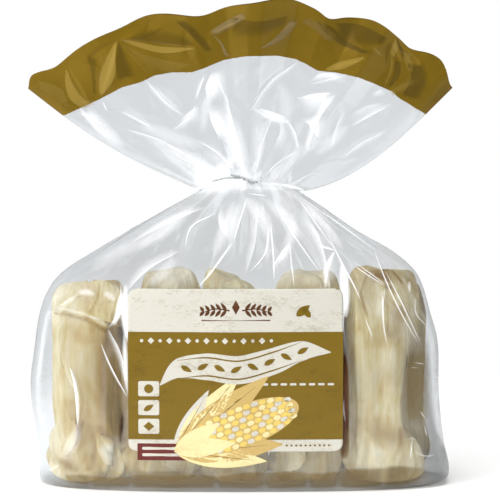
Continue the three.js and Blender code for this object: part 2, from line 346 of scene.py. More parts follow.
def join_grids(grids):
    """Points and faces of one mesh from grids, each told with whether its rows close on themselves."""
    points, faces, first = [], [], 0
    for grid, closed in grids:
        points.append(grid.reshape(-1, 3))
        faces.append(grid_quads(*grid.shape[:2], closed=closed, first=first))
        first += len(points[-1])
    return np.concatenate(points), np.concatenate(faces)


def set_attributes(piece, **attributes):
    """Numbers that a piece's material reads: one for each of its points, or one for them all."""
    for name, values in attributes.items():
        attribute = piece.data.attributes.new(name, "FLOAT", "POINT")
        numbers = np.broadcast_to(np.ravel(values).astype(float), len(piece.data.vertices))
        attribute.data.foreach_set("value", numbers.copy())


# ---- Shaders ----
def colour(red, green, blue):
    """A linear colour from sRGB values of 0 to 255."""
    shares = (value / 255 for value in (red, green, blue))
    linear = [s / 12.92 if s <= 0.04045 else ((s + 0.055) / 1.055) ** 2.4 for s in shares]
    return (*linear, 1)


class Shader:
    """The node tree of a material or a world, and short calls for its nodes."""

    def __init__(self, name, kind="materials"):
        self.block = getattr(bpy.data, kind).new(name)
        self.block.use_nodes = True
        self.tree = self.block.node_tree
        self.tree.nodes.clear()

    def add(self, kind, inputs=None, **settings):
        """A node with its settings, and its inputs given as values or as other nodes' outputs."""
        node = self.tree.nodes.new("ShaderNode" + kind)
        for key, value in settings.items():
            setattr(node, key, value)
        for key, value in (inputs or {}).items():
            if isinstance(value, bpy.types.NodeSocket):
                self.tree.links.new(value, node.inputs[key])
            else:
                node.inputs[key].default_value = value
        return node

    def math(self, operation, a, b=0.0, c=0.0):
        return self.add("Math", {0: a, 1: b, 2: c}, operation=operation).outputs[0]

    def attribute(self, name):
        return self.add("Attribute", attribute_name=name).outputs["Fac"]

    def place(self, scale=(1, 1, 1)):
        """The object's own coordinates in metres, stretched by scale."""
        coordinates = self.add("TexCoord").outputs["Object"]
        return self.add("Mapping", {"Vector": coordinates, "Scale": scale}).outputs[0]

    def noise(self, scale, detail=2.0, roughness=0.5, stretch=(1, 1, 1), distortion=0.0):
        inputs = {
            "Vector": self.place(stretch),
            "Scale": scale,
            "Detail": detail,
            "Roughness": roughness,
            "Distortion": distortion,
        }
        return self.add("TexNoise", inputs).outputs["Fac"]

    def ramp(self, factor, stops, interpolation="LINEAR"):
        """A colour ramp: stops are (position, colour)."""
        node = self.add("ValToRGB", {"Fac": factor})
        ramp = node.color_ramp
        ramp.interpolation = interpolation
        while len(ramp.elements) < len(stops):
            ramp.elements.new(1)
        for element, (position, value) in zip(ramp.elements, stops):
            element.position = position
            element.color = value
        return node.outputs["Color"]

    def mix(self, factor, a, b, blend="MIX"):
        inputs = {0: factor, 6: a, 7: b}
        return self.add("Mix", inputs, data_type="RGBA", blend_type=blend).outputs[2]

    def bump(self, height, distance, strength=1.0):
        inputs = {"Height": height, "Distance": distance, "Strength": strength}
        return self.add("Bump", inputs).outputs[0]

    def crinkle(self, scale, detail, roughness, distance, strength):
        return self.bump(self.noise(scale, detail, roughness), distance, strength)

    def blend(self, share, first, second):
        """Two surfaces or lights mixed by a share: the first where it is 0 and the second at 1."""
        return self.add("MixShader", {0: share, 1: first.outputs[0], 2: second.outputs[0]})

    def finish(self, surface):
        self.add("OutputMaterial", {"Surface": surface.outputs[0]})
        return self.block


FILM_TINT = (0.868, 0.884, 0.896, 1)  # what one layer lets through
SHADED_TINT = (0.56, 0.565, 0.565, 1)  # and where its painted shade is full
MIRROR_SHARE = (0.115, 0.45)  # how much the film mirrors face on, and how much more at its edges
MIRROR_POWER = 3.0
MILK_COVER = 0.6  # how fully milky film and painted light patches cover what lies behind it
BROWN_COVER = 0.85  # and painted brown shade
MOST_COVER = 0.95  # and anything at most
FILM_METAL = (0.75, 0.6)  # how metallic its mirror is, and how much less where the film is milky and where it has painted light patches
WHITE = (1, 1, 1, 1)
# Small unevenness: noise scale, detail and roughness, and the bump's distance and strength
FILM_CRINKLE = (60, 2, 0.5, 0.0006, 0.15)
FOLD_CRINKLE = (300, 2, 0.5, 0.0002, 0.3)
BAND_CRINKLE = (95, 4, 0.6, 0.0005, 0.4)


def film_material():
    """Clear glossy film: see-through, with a mirror share that grows at grazing angles. It is milky
    where its gather says so, covered by painted light patches where its light-patch attribute says so,
    and darkened by painted shade where its shade does. Where it is brown, it is covered by painted brown
    shade standing for husk in shade, and by painted deep shade where its deep-shade attribute says so as
    well."""
    shader = Shader("clear_film")
    normal = shader.crinkle(*FILM_CRINKLE)
    facing = shader.add("LayerWeight", {"Blend": 0.5, "Normal": normal}).outputs["Facing"]
    grazing = shader.math("POWER", facing, MIRROR_POWER)
    gather = shader.attribute("gather")
    # Painted light: soft white patches, made cloudy by noise, added to the milk of gathered film.
    cloud = shader.ramp(shader.noise(30, detail=3), [(0.36, (0, 0, 0, 1)), (0.6, WHITE)])
    milk = shader.math("MULTIPLY_ADD", shader.attribute("haze"), cloud, gather)
    mirror = shader.math("MULTIPLY_ADD", grazing, MIRROR_SHARE[1], MIRROR_SHARE[0])
    # Painted shade: an opaque brown cover, deep brown in the gaps, with the mirror turned off under it.
    brown = shader.attribute("brown")
    browned = shader.math("MINIMUM", shader.math("MULTIPLY", brown, 2.0), 1.0)
    film_share = shader.math("MULTIPLY_ADD", milk, MILK_COVER, mirror)
    missing = shader.math("SUBTRACT", BROWN_COVER, film_share)
    share = shader.math("MULTIPLY_ADD", browned, missing, film_share)
    foot_shade = shader.ramp(brown, [(0.1, colour(152, 137, 106)), (0.45, colour(114, 96, 64))])
    husk_shade = shader.mix(shader.attribute("dark"), foot_shade, colour(78, 44, 28))
    plainness = shader.math("MULTIPLY_ADD", milk, -FILM_METAL[1], FILM_METAL[0])
    turning = shader.math("MINIMUM", shader.math("MULTIPLY", brown, 6.0), 1.0)
    gloss = shader.add("BsdfPrincipled", {
        "Base Color": shader.mix(turning, colour(243, 245, 248), husk_shade),
        "Metallic": shader.math("MULTIPLY", plainness, shader.math("SUBTRACT", 1.0, turning)),
        "Roughness": 0.2,
        "Specular IOR Level": 0.3,
        "Normal": normal,
    })
    # Painted shade: the see-through part is darkened where the shade attribute says.
    tint = shader.mix(shader.attribute("shade"), FILM_TINT, SHADED_TINT)
    clear = shader.add("BsdfTransparent", {"Color": tint})
    cover = shader.math("MINIMUM", share, MOST_COVER)
    return shader.finish(shader.blend(cover, clear, gloss))


def glint_material(name, tint, light, glow, roughness, crinkle):
    """Painted highlight and shade over a fold or facet of the film, glowing as given, as strong as its
    strength attribute says, and clear where that is 0.
    """
    shader = Shader(name)
    lit = shader.add("BsdfPrincipled", {
        "Base Color": tint,
        "Roughness": roughness,
        "Emission Color": light,
        "Emission Strength": glow,
        "Normal": shader.crinkle(*crinkle),
    })
    clear = shader.add("BsdfTransparent")
    return shader.finish(shader.blend(shader.attribute("glint"), clear, lit))


def band_material():
    """The gold print along the mouth, under the same gloss."""
    shader = Shader("gold_print")
    cloud = shader.noise(38, detail=3, roughness=0.55)
    grain = shader.noise(1400, detail=2)
    gold = shader.ramp(cloud, [(0.3, colour(116, 92, 11)), (0.7, colour(130, 103, 18))])
    base = shader.mix(shader.math("MULTIPLY", grain, 0.12), gold, colour(104, 83, 10))
    gloss = shader.add("BsdfPrincipled", {
        "Base Color": base,
        "Metallic": 0.25,
        "Roughness": 0.34,
        "Specular IOR Level": 0.3,
        "Normal": shader.crinkle(*BAND_CRINKLE),
    })
    return shader.finish(gloss)


def husk_material():
    """Dry corn husk: fine lengthwise fibres, cream to tan, browned and given painted shade where the
    attribute it reads is positive, and paler, mostly as painted light, where it is negative.
    """
    shader = Shader("corn_husk")
    fibres = shader.noise(1500, detail=4, roughness=0.7, stretch=(1, 1, 0.14))
    streaks = shader.noise(260, detail=4, roughness=0.6, stretch=(1, 1, 0.13), distortion=0.3)
    blotches = shader.noise(38, detail=4, roughness=0.6, stretch=(1, 1, 0.75), distortion=0.6)
    tone = shader.math("MULTIPLY_ADD", streaks, 0.42, shader.math("MULTIPLY", blotches, 0.58))
    husk = shader.ramp(tone, [
        (0.38, colour(196, 168, 102)),
        (0.46, colour(214, 194, 136)),
        (0.52, colour(225, 211, 162)),
        (0.6, colour(236, 227, 192)),
    ])
    # Real browning, painted shade, and painted light where negative, all from one attribute.
    toast = shader.attribute("toast")
    patchy = shader.math("MULTIPLY", toast, shader.math("MULTIPLY_ADD", streaks, 1.4, 0.1))
    toasted = shader.mix(shader.math("MAXIMUM", patchy, 0.0), husk, colour(150, 115, 36))
    paleness = shader.math("MULTIPLY", toast, -1.0)
    paled = shader.mix(shader.math("MAXIMUM", paleness, 0.0), toasted, colour(250, 246, 228))
    fibre_share = shader.math("MULTIPLY", fibres, 0.4)
    veined = shader.mix(fibre_share, paled, colour(196, 170, 118), blend="MULTIPLY")
    height = shader.math("MULTIPLY_ADD", fibres, 0.5, streaks)
    husk_surface = shader.add("BsdfPrincipled", {
        "Base Color": veined,
        "Roughness": 0.6,
        "Normal": shader.bump(height, 0.0008, 0.7),
    })
    return shader.finish(husk_surface)


def print_material(name, ink, shade, wear):
    """Label print in one ink, scuffed along fine level scratches to another shade."""
    shader = Shader(name)
    scratches = shader.noise(1900, detail=4, roughness=0.75, stretch=(0.22, 1, 1))
    patches = shader.noise(110, detail=4, roughness=0.7, stretch=(0.4, 1, 1))
    worn = shader.math("MULTIPLY", scratches, patches)
    grain = shader.ramp(worn, [(0.27, (0, 0, 0, 1)), (0.35, WHITE)])
    base = shader.mix(shader.math("MULTIPLY", grain, wear), ink, shade)
    cloud = shader.noise(50, detail=3)
    gloss = shader.add("BsdfPrincipled", {
        "Base Color": base,
        "Roughness": 0.45,
        "Specular IOR Level": 0.3,
        "Normal": shader.bump(cloud, 0.0005, 0.2),
    })
    return shader.finish(gloss)


TAIL_FRONT = -15  # the twist and the tails lie in front of this y, the loop behind it


def wire_material():
    """A thin plastic coat over wire: grey on the twist and tails, and round the neck pale with a painted
    glow, so that the loop reads pale under the gathered film."""
    shader = Shader("tie_wire_coat")
    scuffs = shader.noise(700, detail=3)
    grey = shader.ramp(scuffs, [(0.35, colour(160, 164, 165)), (0.65, colour(196, 199, 200))])
    behind = shader.add("SeparateXYZ", {0: shader.place()}).outputs[1]
    # Painted light: the loop behind the twist is pale and glows though it is no lamp.
    in_loop = shader.math("GREATER_THAN", behind, (TAIL_FRONT + CENTRE_SHIFT[1]) * MM)
    coat = shader.add("BsdfPrincipled", {
        "Base Color": shader.mix(in_loop, grey, colour(222, 226, 229)),
        "Emission Color": WHITE,
        "Emission Strength": shader.math("MULTIPLY", in_loop, 0.5),
        "Roughness": 0.38,
        "Normal": shader.bump(scuffs, 0.0001),
    })
    return shader.finish(coat)


# ---- Creases in the film ----
# Creases given one by one, each a pair of narrow facets: x0, z0, x1, z1, half width, rise, bend.
BODY_CREASES = (
    (-16, 166, -24, 132, 3.2, 1.6, -3.8), (-4, 157, -16, 143, 1.9, 1.0, 1.3),
    (-18, 134, 4, 141, 3.2, 1.4, 1.3), (4, 141, 15, 146, 1.9, 1.0, 0.0),
    (20, 166, 21, 142, 2.5, 1.4, 0.0), (32, 160, 14, 148, 3.8, 1.7, 1.3),
    (32, 160, 42, 139, 3.8, -1.6, -1.3), (37, 166, 54, 138, 2.5, 1.5, 1.3),
    (54, 138, 62, 154, 2.2, 1.3, 0.0), (50, 159, 62, 153, 1.9, 1.0, 0.0),
    (55, 176, 88, 152, 2.5, 1.5, -1.9), (88, 152, 114, 105, 1.7, 1.2, -2.5),
    (85, 148, 116, 97, 1.7, 1.2, -3.2), (66, 148, 78, 125, 2.5, 1.5, -1.3),
    (77, 126, 82, 109, 1.9, 1.2, 0.0), (82, 110, 70, 108, 1.9, 1.0, 1.9),
    (73, 147, 94, 132, 1.9, 1.2, 0.0), (92, 132, 94, 123, 1.9, 1.2, -1.9),
    (95, 124, 95, 92, 1.6, 1.1, 0.0), (109, 124, 117, 120, 1.9, 1.0, 0.0),
    (110, 116, 119, 112, 1.9, -1.0, 0.0), (112, 81, 118, 65, 2.6, 1.2, -1.3),
    (119, 52, 118, 42, 1.9, 1.1, 0.0), (112, 33, 111, 16, 1.9, 1.2, 1.3),
    (98, 19, 116, 11, 2.6, 1.1, -1.3), (-117, 117, -98, 127, 2.2, 1.3, -1.9),
    (-105, 114, -85, 105, 1.9, 1.2, 1.3), (-110, 81, -104, 37, 2.6, 1.6, -2.6),
    (-89, 97, -72, 59, 2.9, 1.7, 3.2), (-75, 134, -84, 103, 3.2, 1.7, 1.3),
    (-85, 105, -72, 62, 2.6, -1.5, 1.9), (-129, 8, -116, 14, 1.9, 1.1, 0.0),
    (-57, 172, -74, 144, 3.8, 1.8, -1.9), (-32, 178, -57, 148, 3.8, 1.8, 1.9),
    (-76, 162, -92, 134, 3.2, 1.4, -1.9), (-40, 175, -43, 146, 2.5, 1.4, 1.3),
    (-16, 185, -33, 153, 3.2, 1.7, 1.3), (3, 184, -1, 148, 3.2, -1.5, 1.3),
    (57, 168, 78, 148, 3.2, -1.5, -1.3), (38, 179, 71, 160, 3.2, 1.6, -1.9),
    (-114, 132, -120, 105, 3.2, 1.4, 1.3), (-117, 98, -120, 40, 2.6, 1.4, -1.9),
    (68, 144, 70, 105, 2.5, 1.3, 1.3), (122, 124, 125, 72, 3.2, 1.4, -1.9),
    (-77, 53, -74, 16, 2.6, 1.3, 1.3),
)
FRILL_CREASES = (
    (-88, 249, -85, 242, 1.6, 0.9, 0.0), (-103, 245, -82, 224, 5.8, 2.2, 0.6),
    (-74, 231, -32, 213, 2.6, 1.5, -2.6), (-61, 264, -35, 239, 4.5, 2.0, 1.3),
    (-44, 230, -28, 247, 5.8, 1.8, 1.3), (-9, 255, 4, 201, 8.3, 3.2, 0.0),
    (8, 245, 33, 236, 3.8, 1.8, 1.9), (30, 238, 38, 218, 5.1, 2.4, -1.9),
    (36, 251, 60, 255, 3.8, 1.7, 0.0), (62, 254, 43, 216, 7.1, 3.0, 2.6),
    (44, 260, 68, 266, 3.2, 1.4, 0.0), (34, 196, 52, 203, 3.2, 1.5, -1.3),
    (-12, 188, 21, 185, 2.3, 1.0, -0.6), (6, 200, 14, 232, 3.2, 1.6, 1.3),
    (10, 201, 23, 242, 3.2, -1.6, -1.9), (14, 200, 39, 218, 3.2, 1.5, -1.9),
    (-3, 203, -28, 224, 3.9, 1.7, 1.9), (0, 205, -17, 243, 4.5, -2.0, 1.3),
    (-6, 201, -51, 218, 3.2, 1.6, -1.9), (67, 243, 58, 218, 5.1, -1.8, 1.3),
    (98, 247, 71, 232, 4.5, 1.5, 0.0), (-22, 266, -28, 250, 3.2, 1.6, 0.0),
    (-17, 268, -9, 250, 2.6, -1.2, 0.0), (-77, 242, -58, 232, 3.8, -1.3, 0.0),
    (38, 275, 6, 242, 4.5, -1.6, 3.8), (95, 230, 64, 211, 5.1, -1.4, 1.9),
)
BAND_CREASES = (
    (-78, 288, -89, 252, 5.1, 2.6, -1.9), (-78, 288, -48, 297, 4.5, 1.9, 1.9),
    (-78, 288, -25, 282, 3.8, 2.2, -2.6), (-78, 288, -56, 263, 4.5, -2.0, -1.3),
    (-110, 270, -96, 245, 5.1, 2.2, -1.9), (-78, 288, -100, 272, 3.8, -1.6, 1.9),
    (3, 303, -22, 291, 3.2, 1.7, -1.3), (-22, 291, -8, 274, 2.6, 1.5, 1.3),
    (37, 300, 14, 281, 3.8, 1.8, 1.9), (63, 277, 72, 302, 5.7, -2.2, 1.9),
    (86, 279, 70, 295, 5.1, 1.6, -1.9), (98, 288, 105, 273, 3.2, 1.7, 0.0),
    (98, 288, 95, 269, 3.2, -1.6, 1.3), (98, 288, 84, 282, 2.6, 1.4, 0.0),
    (98, 288, 118, 269, 3.8, 1.8, -2.6), (83, 275, 53, 267, 3.2, 1.5, 1.3),
    (102, 274, 97, 255, 3.2, 1.4, -1.3), (114, 274, 108, 254, 3.8, -1.6, 1.3),
    (-35, 296, -32, 275, 4.5, -1.8, 1.9), (-57, 302, -64, 281, 3.8, -1.3, 0.0),
)

# Painted highlights along sharp folds below the tie, glowing white lines: how wide their soft side is
# (negative to the left of the way they run), how white they are, and their points x, z.
BODY_FOLD_LINES = (
    (1.5, 0.8, (5, 188), (0, 172), (-4, 160)), (1.6, 0.9, (-4, 160), (-18, 141), (-27, 131)),
    (1.3, 0.8, (19, 171), (16, 152), (6, 141)), (1.4, 1.0, (20, 171), (22, 147), (22, 136)),
    (-4, 0.5, (32, 160), (24, 150), (20, 144)), (1.6, 0.6, (32, 160), (35, 132)),
    (1.5, 0.6, (20, 188), (35, 164), (50, 143), (53, 139)), (-2, 0.8, (53, 139), (61, 154)),
    (2, 0.7, (61, 154), (50, 157)), (3, 0.7, (61, 154), (56, 139), (55, 131)),
    (1.6, 0.6, (38, 186), (50, 170), (61, 155)), (1.2, 0.9, (35, 190), (60, 173), (88, 153)),
    (1.2, 0.8, (55, 167), (66, 146), (77, 125)), (1.2, 0.7, (62, 150), (71, 137), (78, 122)),
    (1.2, 1.0, (86, 155), (93, 137), (105, 112), (115, 94)), (1, 0.8, (75, 146), (85, 139), (93, 133)),
    (1.2, 0.6, (-15, 178), (-32, 167), (-35, 155)),
    (1.3, 0.9, (84, 163), (95, 146), (107, 125), (113, 118)),
    (1.2, 0.9, (93, 142), (104, 121), (116, 95)), (1.1, 0.8, (73, 145), (93, 132)),
    (1.2, 0.8, (93, 131), (91.5, 116), (94, 94)), (1.2, 0.8, (91, 129), (92, 110)),
    (1.6, 0.95, (-89, 98), (-82, 82), (-71, 61)),
    (-3, 0.95, (-109, 81), (-106, 69), (-104.8, 57), (-104, 42)),
    (-3, 0.7, (-76, 134), (-78, 116), (-84, 106)), (4, 0.6, (-84, 106), (-76, 91), (-72, 70)),
    (1.2, 0.45, (-127, 10), (-116, 15)), (0.8, 0.8, (111, 34), (110.5, 27), (109.5, 20)),
    (0.6, 0.6, (107, 33), (111, 34), (114, 32)), (0.8, 0.7, (113, 24.5), (118, 22), (126, 21)),
    (1, 0.7, (119, 42), (121, 33)), (0.6, 0.4, (108, 44), (113, 43)),
    (0.9, 0.7, (116, 51), (119.5, 46)), (0.6, 0.5, (109, 80), (115, 79)),
    (1, 0.8, (113, 123), (113, 115), (120, 105)), (6, 0.4, (-38, 154), (-60, 141), (-73, 128)),
    (4, 0.45, (-22, 181), (-46, 171), (-70, 158)), (1, 0.7, (18, 188), (4, 190)),
    (0.7, 0.6, (112, 83), (119, 81)), (1.2, 0.6, (80, 113), (85, 100)),
    (5, 0.35, (12, 186), (10, 160), (4, 140)), (6, 0.3, (-60, 170), (-84, 152), (-104, 136)),
    (5, 0.4, (40, 182), (52, 160), (58, 130)),
)

# Broad soft painted highlights on the film: half width, how white they are, and their points x, z.
BODY_VEILS = (
    (6, 0.5, (1, 189), (13, 177), (21, 161)), (4, 0.5, (37, 187), (54, 170), (67, 154)),
    (6, 0.35, (-28, 183), (-47, 168), (-66, 156)), (5, 0.45, (-17, 150), (-9, 170), (-3, 186)),
    (4.5, 0.4, (25, 147), (32, 161), (35, 178)),
    (2.6, 0.22, (-121, 120), (-128, 88), (-130, 56), (-126, 26)),
    (5, 0.25, (-98, 140), (-70, 156), (-52, 162)), (5, 0.4, (16, 186), (30, 174), (40, 160)),
    (3.2, 1.3, (-73, 134), (-73.5, 116), (-71, 96)), (2.2, 1.0, (-73.5, 106), (-73, 86), (-71.5, 62)),
    (2.5, 0.4, (121, 122), (124, 96), (125, 72)), (1.5, 0.7, (109, 134), (109, 127)),
    (3, 0.55, (-105, 127), (-98.5, 128), (-92, 126.5)),
    (3, 0.5, (-87.5, 127.5), (-83.5, 126.5), (-79.5, 123)),
    (5, 0.4, (-103, 45), (-107, 32), (-114, 19)), (2.6, 1.2, (-76, 128), (-78, 114), (-81, 107)),
    (3.8, 1.3, (65, 147), (67, 131), (67.5, 112)), (5, 0.3, (-40, 150), (-50, 140), (-60, 133)),
)
FRILL_VEILS = (
    (7, 0.6, (-5, 240), (-2, 221), (4, 202)), (6, 0.5, (-24, 195), (-10, 206), (0, 219)),
    (5, 0.4, (14, 241), (12, 220), (10, 202)), (5, 0.5, (-46, 221), (-24, 208), (-8, 198)),
    (4, 0.45, (40, 222), (29, 206), (21, 198)), (6, 0.35, (-66, 236), (-44, 226), (-22, 220)),
    (5, 0.3, (56, 238), (46, 222), (36, 211)), (6, 0.25, (24, 262), (30, 246), (27, 232)),
    (4, 0.35, (-14, 262), (-22, 244), (-24, 228)), (5, 0.4, (70, 234), (60, 224), (48, 214)),
    (6, 0.55, (-98, 244), (-88, 231), (-74, 218)),
)

# Painted highlights and painted shade on flat facets between two folds: strength, the share of the way
# across where it begins to fade, and the points x, z of the fold it is sharp along and of the fold it
# fades to.
BRIGHT_FACETS = (
    (0.8, 0.7, ((-111.5, 271), (-112, 259), (-109, 250), (-100, 243.5)),
     ((-111.5, 271), (-106, 260), (-100, 252), (-92, 247))),
    (0.85, 0.8, ((-78.3, 289), (-79.5, 278), (-80, 265), (-89.5, 251)),
     ((-78.3, 289), (-86, 277), (-91, 266), (-90, 251))),
    (0.85, 0.9, ((-78, 289), (-66, 287), (-54, 284.5), (-25.5, 283)),
     ((-78, 289), (-64, 283), (-51, 279.5), (-25.5, 283))),
    (0.4, 0.4, ((-76, 287), (-64, 280), (-50, 276), (-28, 272)),
     ((-76, 287), (-66, 274), (-58, 266), (-50, 264.5))),
    (0.45, 0.6, ((-109, 277), (-92, 286), (-78, 291), (-49, 302)),
     ((-109, 277), (-94, 290), (-76, 298.5), (-49, 306))),
    (0.4, 0.5, ((-130, 262), (-122, 260), (-113, 256)), ((-130, 256), (-116, 246), (-107, 240))),
    (0.8, 0.7, ((53, 268.5), (62, 273.5), (72, 276), (81, 278)),
     ((53, 268.5), (64, 268), (72, 271), (81, 277))),
    (0.75, 0.9, ((96, 279), (97.5, 284), (99.5, 290)), ((98, 276), (101, 281), (99.5, 290))),
    (0.7, 0.8, ((84.7, 283.5), (88, 279.5), (91.5, 277.5)),
     ((84.7, 283.5), (89, 281.5), (91.5, 277.5))),
    (0.75, 0.6, ((104.5, 286), (113, 283), (122, 280), (130, 273)),
     ((105, 276), (112, 275.5), (119, 277), (126, 271))),
    (0.6, 0.6, ((104.5, 282), (106, 273), (110, 267)), ((110, 279), (112, 273), (111, 267))),
    (0.5, 0.7, ((96.5, 279), (96.3, 270), (92.5, 259)), ((98.5, 278), (98.5, 270), (94, 259))),
    (0.45, 0.5, ((96, 255), (104, 260), (112, 263)), ((98, 251), (106, 255), (113, 260))),
    (0.3, 0.5, ((70, 302), (84, 299), (98, 291)), ((72, 305), (86, 302.5), (100, 295))),
    (0.25, 0.5, ((49, 302), (56, 292), (64, 284)), ((52, 302), (60, 293), (70, 284))),
)
GREY_FACETS = (
    (0.5, 0.6, ((3, 306), (-11, 299), (-20, 293)), ((5, 302), (-8, 294), (-15, 290.5))),
    (0.5, 0.6, ((-20, 293), (-15, 289), (-9, 277)), ((-15, 290.5), (-11, 286), (-6, 277))),
    (0.5, 0.6, ((12, 282), (24, 291), (33, 301.5)), ((12, 282), (28, 288), (39, 300))),
    (0.2, 0.4, ((39, 300), (46, 296), (56, 287)), ((44, 304), (54, 298), (62, 288))),
)
SHADY_FACETS = (
    (0.5, 0.5, ((-42, 301), (-31, 291), (-21, 280)), ((-34, 301), (-24, 292), (-15, 281))),
    (0.3, 0.4, ((-74, 289.5), (-52, 286), (-27, 284.5)), ((-60, 296), (-48, 296), (-34, 290))),
    (0.35, 0.4, ((-6, 303), (12, 300), (32, 304)), ((-6, 288), (14, 290), (30, 297))),
    (0.55, 0.5, ((48, 301), (60, 288), (80, 279)), ((62, 296), (72, 287), (86, 280))),
    (0.5, 0.4, ((60, 299), (76, 298), (95, 289)), ((66, 286), (78, 282), (92, 285))),
    (0.5, 0.5, ((107, 274), (110, 264), (104, 252)), ((120, 272), (122, 262), (116, 248))),
    (0.5, 0.6, ((100, 276), (99, 268), (95, 257)), ((104, 273), (103, 266), (99, 259))),
    (0.3, 0.5, ((-98, 279), (-95, 266), (-94, 253)), ((-90, 276), (-92, 264), (-92, 252))),
    (0.4, 0.5, ((-77.5, 288), (-79, 276), (-78, 262)), ((-77.5, 288), (-70, 275), (-64, 265))),
    (0.4, 0.4, ((-129, 268), (-120, 268), (-113, 270)), ((-127, 262), (-119, 261), (-113, 262))),
    (0.7, 0.8, ((99.8, 289.5), (102.5, 282), (104.5, 276)), ((101, 288), (104.5, 281), (105, 276))),
)
WHITE_FRILL_FACETS = (
    (0.7, 0.5, ((36, 251.3), (48, 254), (60, 255)), ((38.8, 237.4), (52, 240), (64.6, 243))),
    (0.75, 0.5, ((38, 239), (46, 232), (50, 222)), ((62, 242), (56, 234), (52, 222))),
    (0.85, 0.6, ((8, 245.5), (20, 242.5), (33, 237)), ((8, 245.5), (17, 236), (34, 231))),
    (0.6, 0.6, ((44, 261), (50, 266), (68, 266)), ((44, 261), (57, 261), (73, 258.6))),
    (0.5, 0.6, ((84, 252), (88, 255.5), (93, 257)), ((84, 252), (90, 251), (96, 252))),
    (0.85, 0.9, ((-17, 270), (-22, 256), (-20, 248.5)), ((-6.4, 272), (-7, 260), (-8, 250.5))),
    (0.85, 0.6, ((-21, 247), (-19, 238), (-12, 222)), ((-8, 250), (-3, 238), (2, 222))),
    (0.5, 0.4, ((-24, 246.5), (-30, 244), (-40, 235)), ((-23.4, 236), (-31, 232), (-40, 230))),
    (0.45, 0.6, ((-60.7, 261), (-48, 250.5), (-36.3, 240)), ((-55, 261), (-45, 251.5), (-34.8, 241.5))),
    (0.7, 0.5, ((-105, 242), (-99, 238), (-93.6, 233)), ((-95, 244), (-91, 240), (-87, 233))),
    (0.4, 0.4, ((70, 240), (82, 246), (95, 248)), ((66, 232), (80, 238), (96, 242))),
    (0.45, 0.5, ((22, 244), (26, 232), (20, 216)), ((30, 236), (32, 226), (26, 214))),
)
WHITE_BODY_FACETS = (
    (0.6, 0.5, ((-12, 186), (-13.5, 171), (-4, 158)), ((-12, 186), (-8, 172), (-4, 158))),
    (0.45, 0.8, ((19.2, 170), (17, 158), (15.5, 146)), ((19.2, 170), (20, 158), (20.5, 145))),
    (0.35, 0.5, ((33, 161), (24, 150), (20, 143)), ((34, 160), (34, 150), (32, 141))),
    (0.4, 0.5, ((61, 154), (54, 143), (54, 131)), ((61, 154), (63, 143), (60, 130))),
    (0.3, 0.4, ((37, 182), (48, 168), (60, 156)), ((30, 180), (38, 162), (46, 148))),
    (0.5, 0.5, ((-117.5, 117), (-110, 123), (-103, 126.8)), ((-116.5, 115.5), (-109, 120), (-103, 125))),
)


def crease_relief(x, z, creases):
    """The height that a list of creases adds at points of one face of the film. Each is steep on one
    side of its crest."""
    relief = np.zeros_like(x)
    for x0, z0, x1, z1, half_width, rise, bend in creases:
        length = math.hypot(x1 - x0, z1 - z0)
        along_x, along_z = (x1 - x0) / length, (z1 - z0) / length
        share = ((x - x0) * along_x + (z - z0) * along_z) / length
        inside = np.clip(4 * share * (1 - share), 0, 1)
        aside = (x - x0) * along_z - (z - z0) * along_x - bend * inside
        reach = np.maximum(np.where(aside > 0, 0.5, 1.8) * half_width * inside, 1e-6)
        relief += rise * inside * np.clip(1 - np.abs(aside) / reach, 0, 1)
    return relief


def loose_creases(x, z, centre, spread, aim, seed, count):
    """The height of small creases at random places in a box, turned towards the neck by a share."""
    random = np.random.default_rng(seed)
    creases = []
    for _ in range(count):
        at_x, at_z = centre + random.uniform(-1, 1, 2) * spread
        radial = math.atan2(NECK_PLACE[1] - at_z, NECK_PLACE[0] - at_x)
        angle = radial + (1 - aim) * random.uniform(-math.pi / 2, math.pi / 2)
        length = random.uniform(7, 34)
        half_width = random.uniform(0.9, 3.6)
        rise = half_width * random.uniform(0.2, 0.5) * random.choice((-1, 1))
        bend = random.uniform(-0.12, 0.12) * length
        dx, dz = math.cos(angle) * length, math.sin(angle) * length
        creases.append((at_x, at_z, at_x + dx, at_z + dz, half_width, rise, bend))
    return crease_relief(x, z, creases)


def facet_relief(u, v, columns, rows, seed):
    """Flat facets between -1 and 1 over u and v of 0 to 1, from heights at scattered corners."""
    random = np.random.default_rng(seed)
    across, up = np.meshgrid(np.arange(-1, columns + 2), np.arange(-1, rows + 2))
    corners = np.stack([across.ravel(), up.ravel()], axis=1)
    corners = corners + random.uniform(-0.42, 0.42, corners.shape)
    heights = random.uniform(-1, 1, len(corners))
    found = delaunay_2d_cdt([Vector(corner) for corner in corners], [], [], 0, 1e-6)
    points = np.array([tuple(corner) for corner in found[0]])
    levels = heights[[ids[0] for ids in found[3]]]
    x, y = u * columns, v * rows
    relief = np.zeros_like(x)
    for a, b, c in found[2]:
        (ax, ay), (bx, by), (cx, cy) = points[[a, b, c]]
        low_x, high_x = min(ax, bx, cx), max(ax, bx, cx)
        low_y, high_y = min(ay, by, cy), max(ay, by, cy)
        near = (x >= low_x) & (x <= high_x) & (y >= low_y) & (y <= high_y)
        px, py = x[near], y[near]
        area = (by - cy) * (ax - cx) + (cx - bx) * (ay - cy)
        first = ((by - cy) * (px - cx) + (cx - bx) * (py - cy)) / area
        second = ((cy - ay) * (px - cx) + (ax - cx) * (py - cy)) / area
        third = 1 - first - second
        inside = np.minimum(np.minimum(first, second), third) >= -1e-9
        level = first * levels[a] + second * levels[b] + third * levels[c]
        relief[near] = np.where(inside, level, relief[near])
    return relief


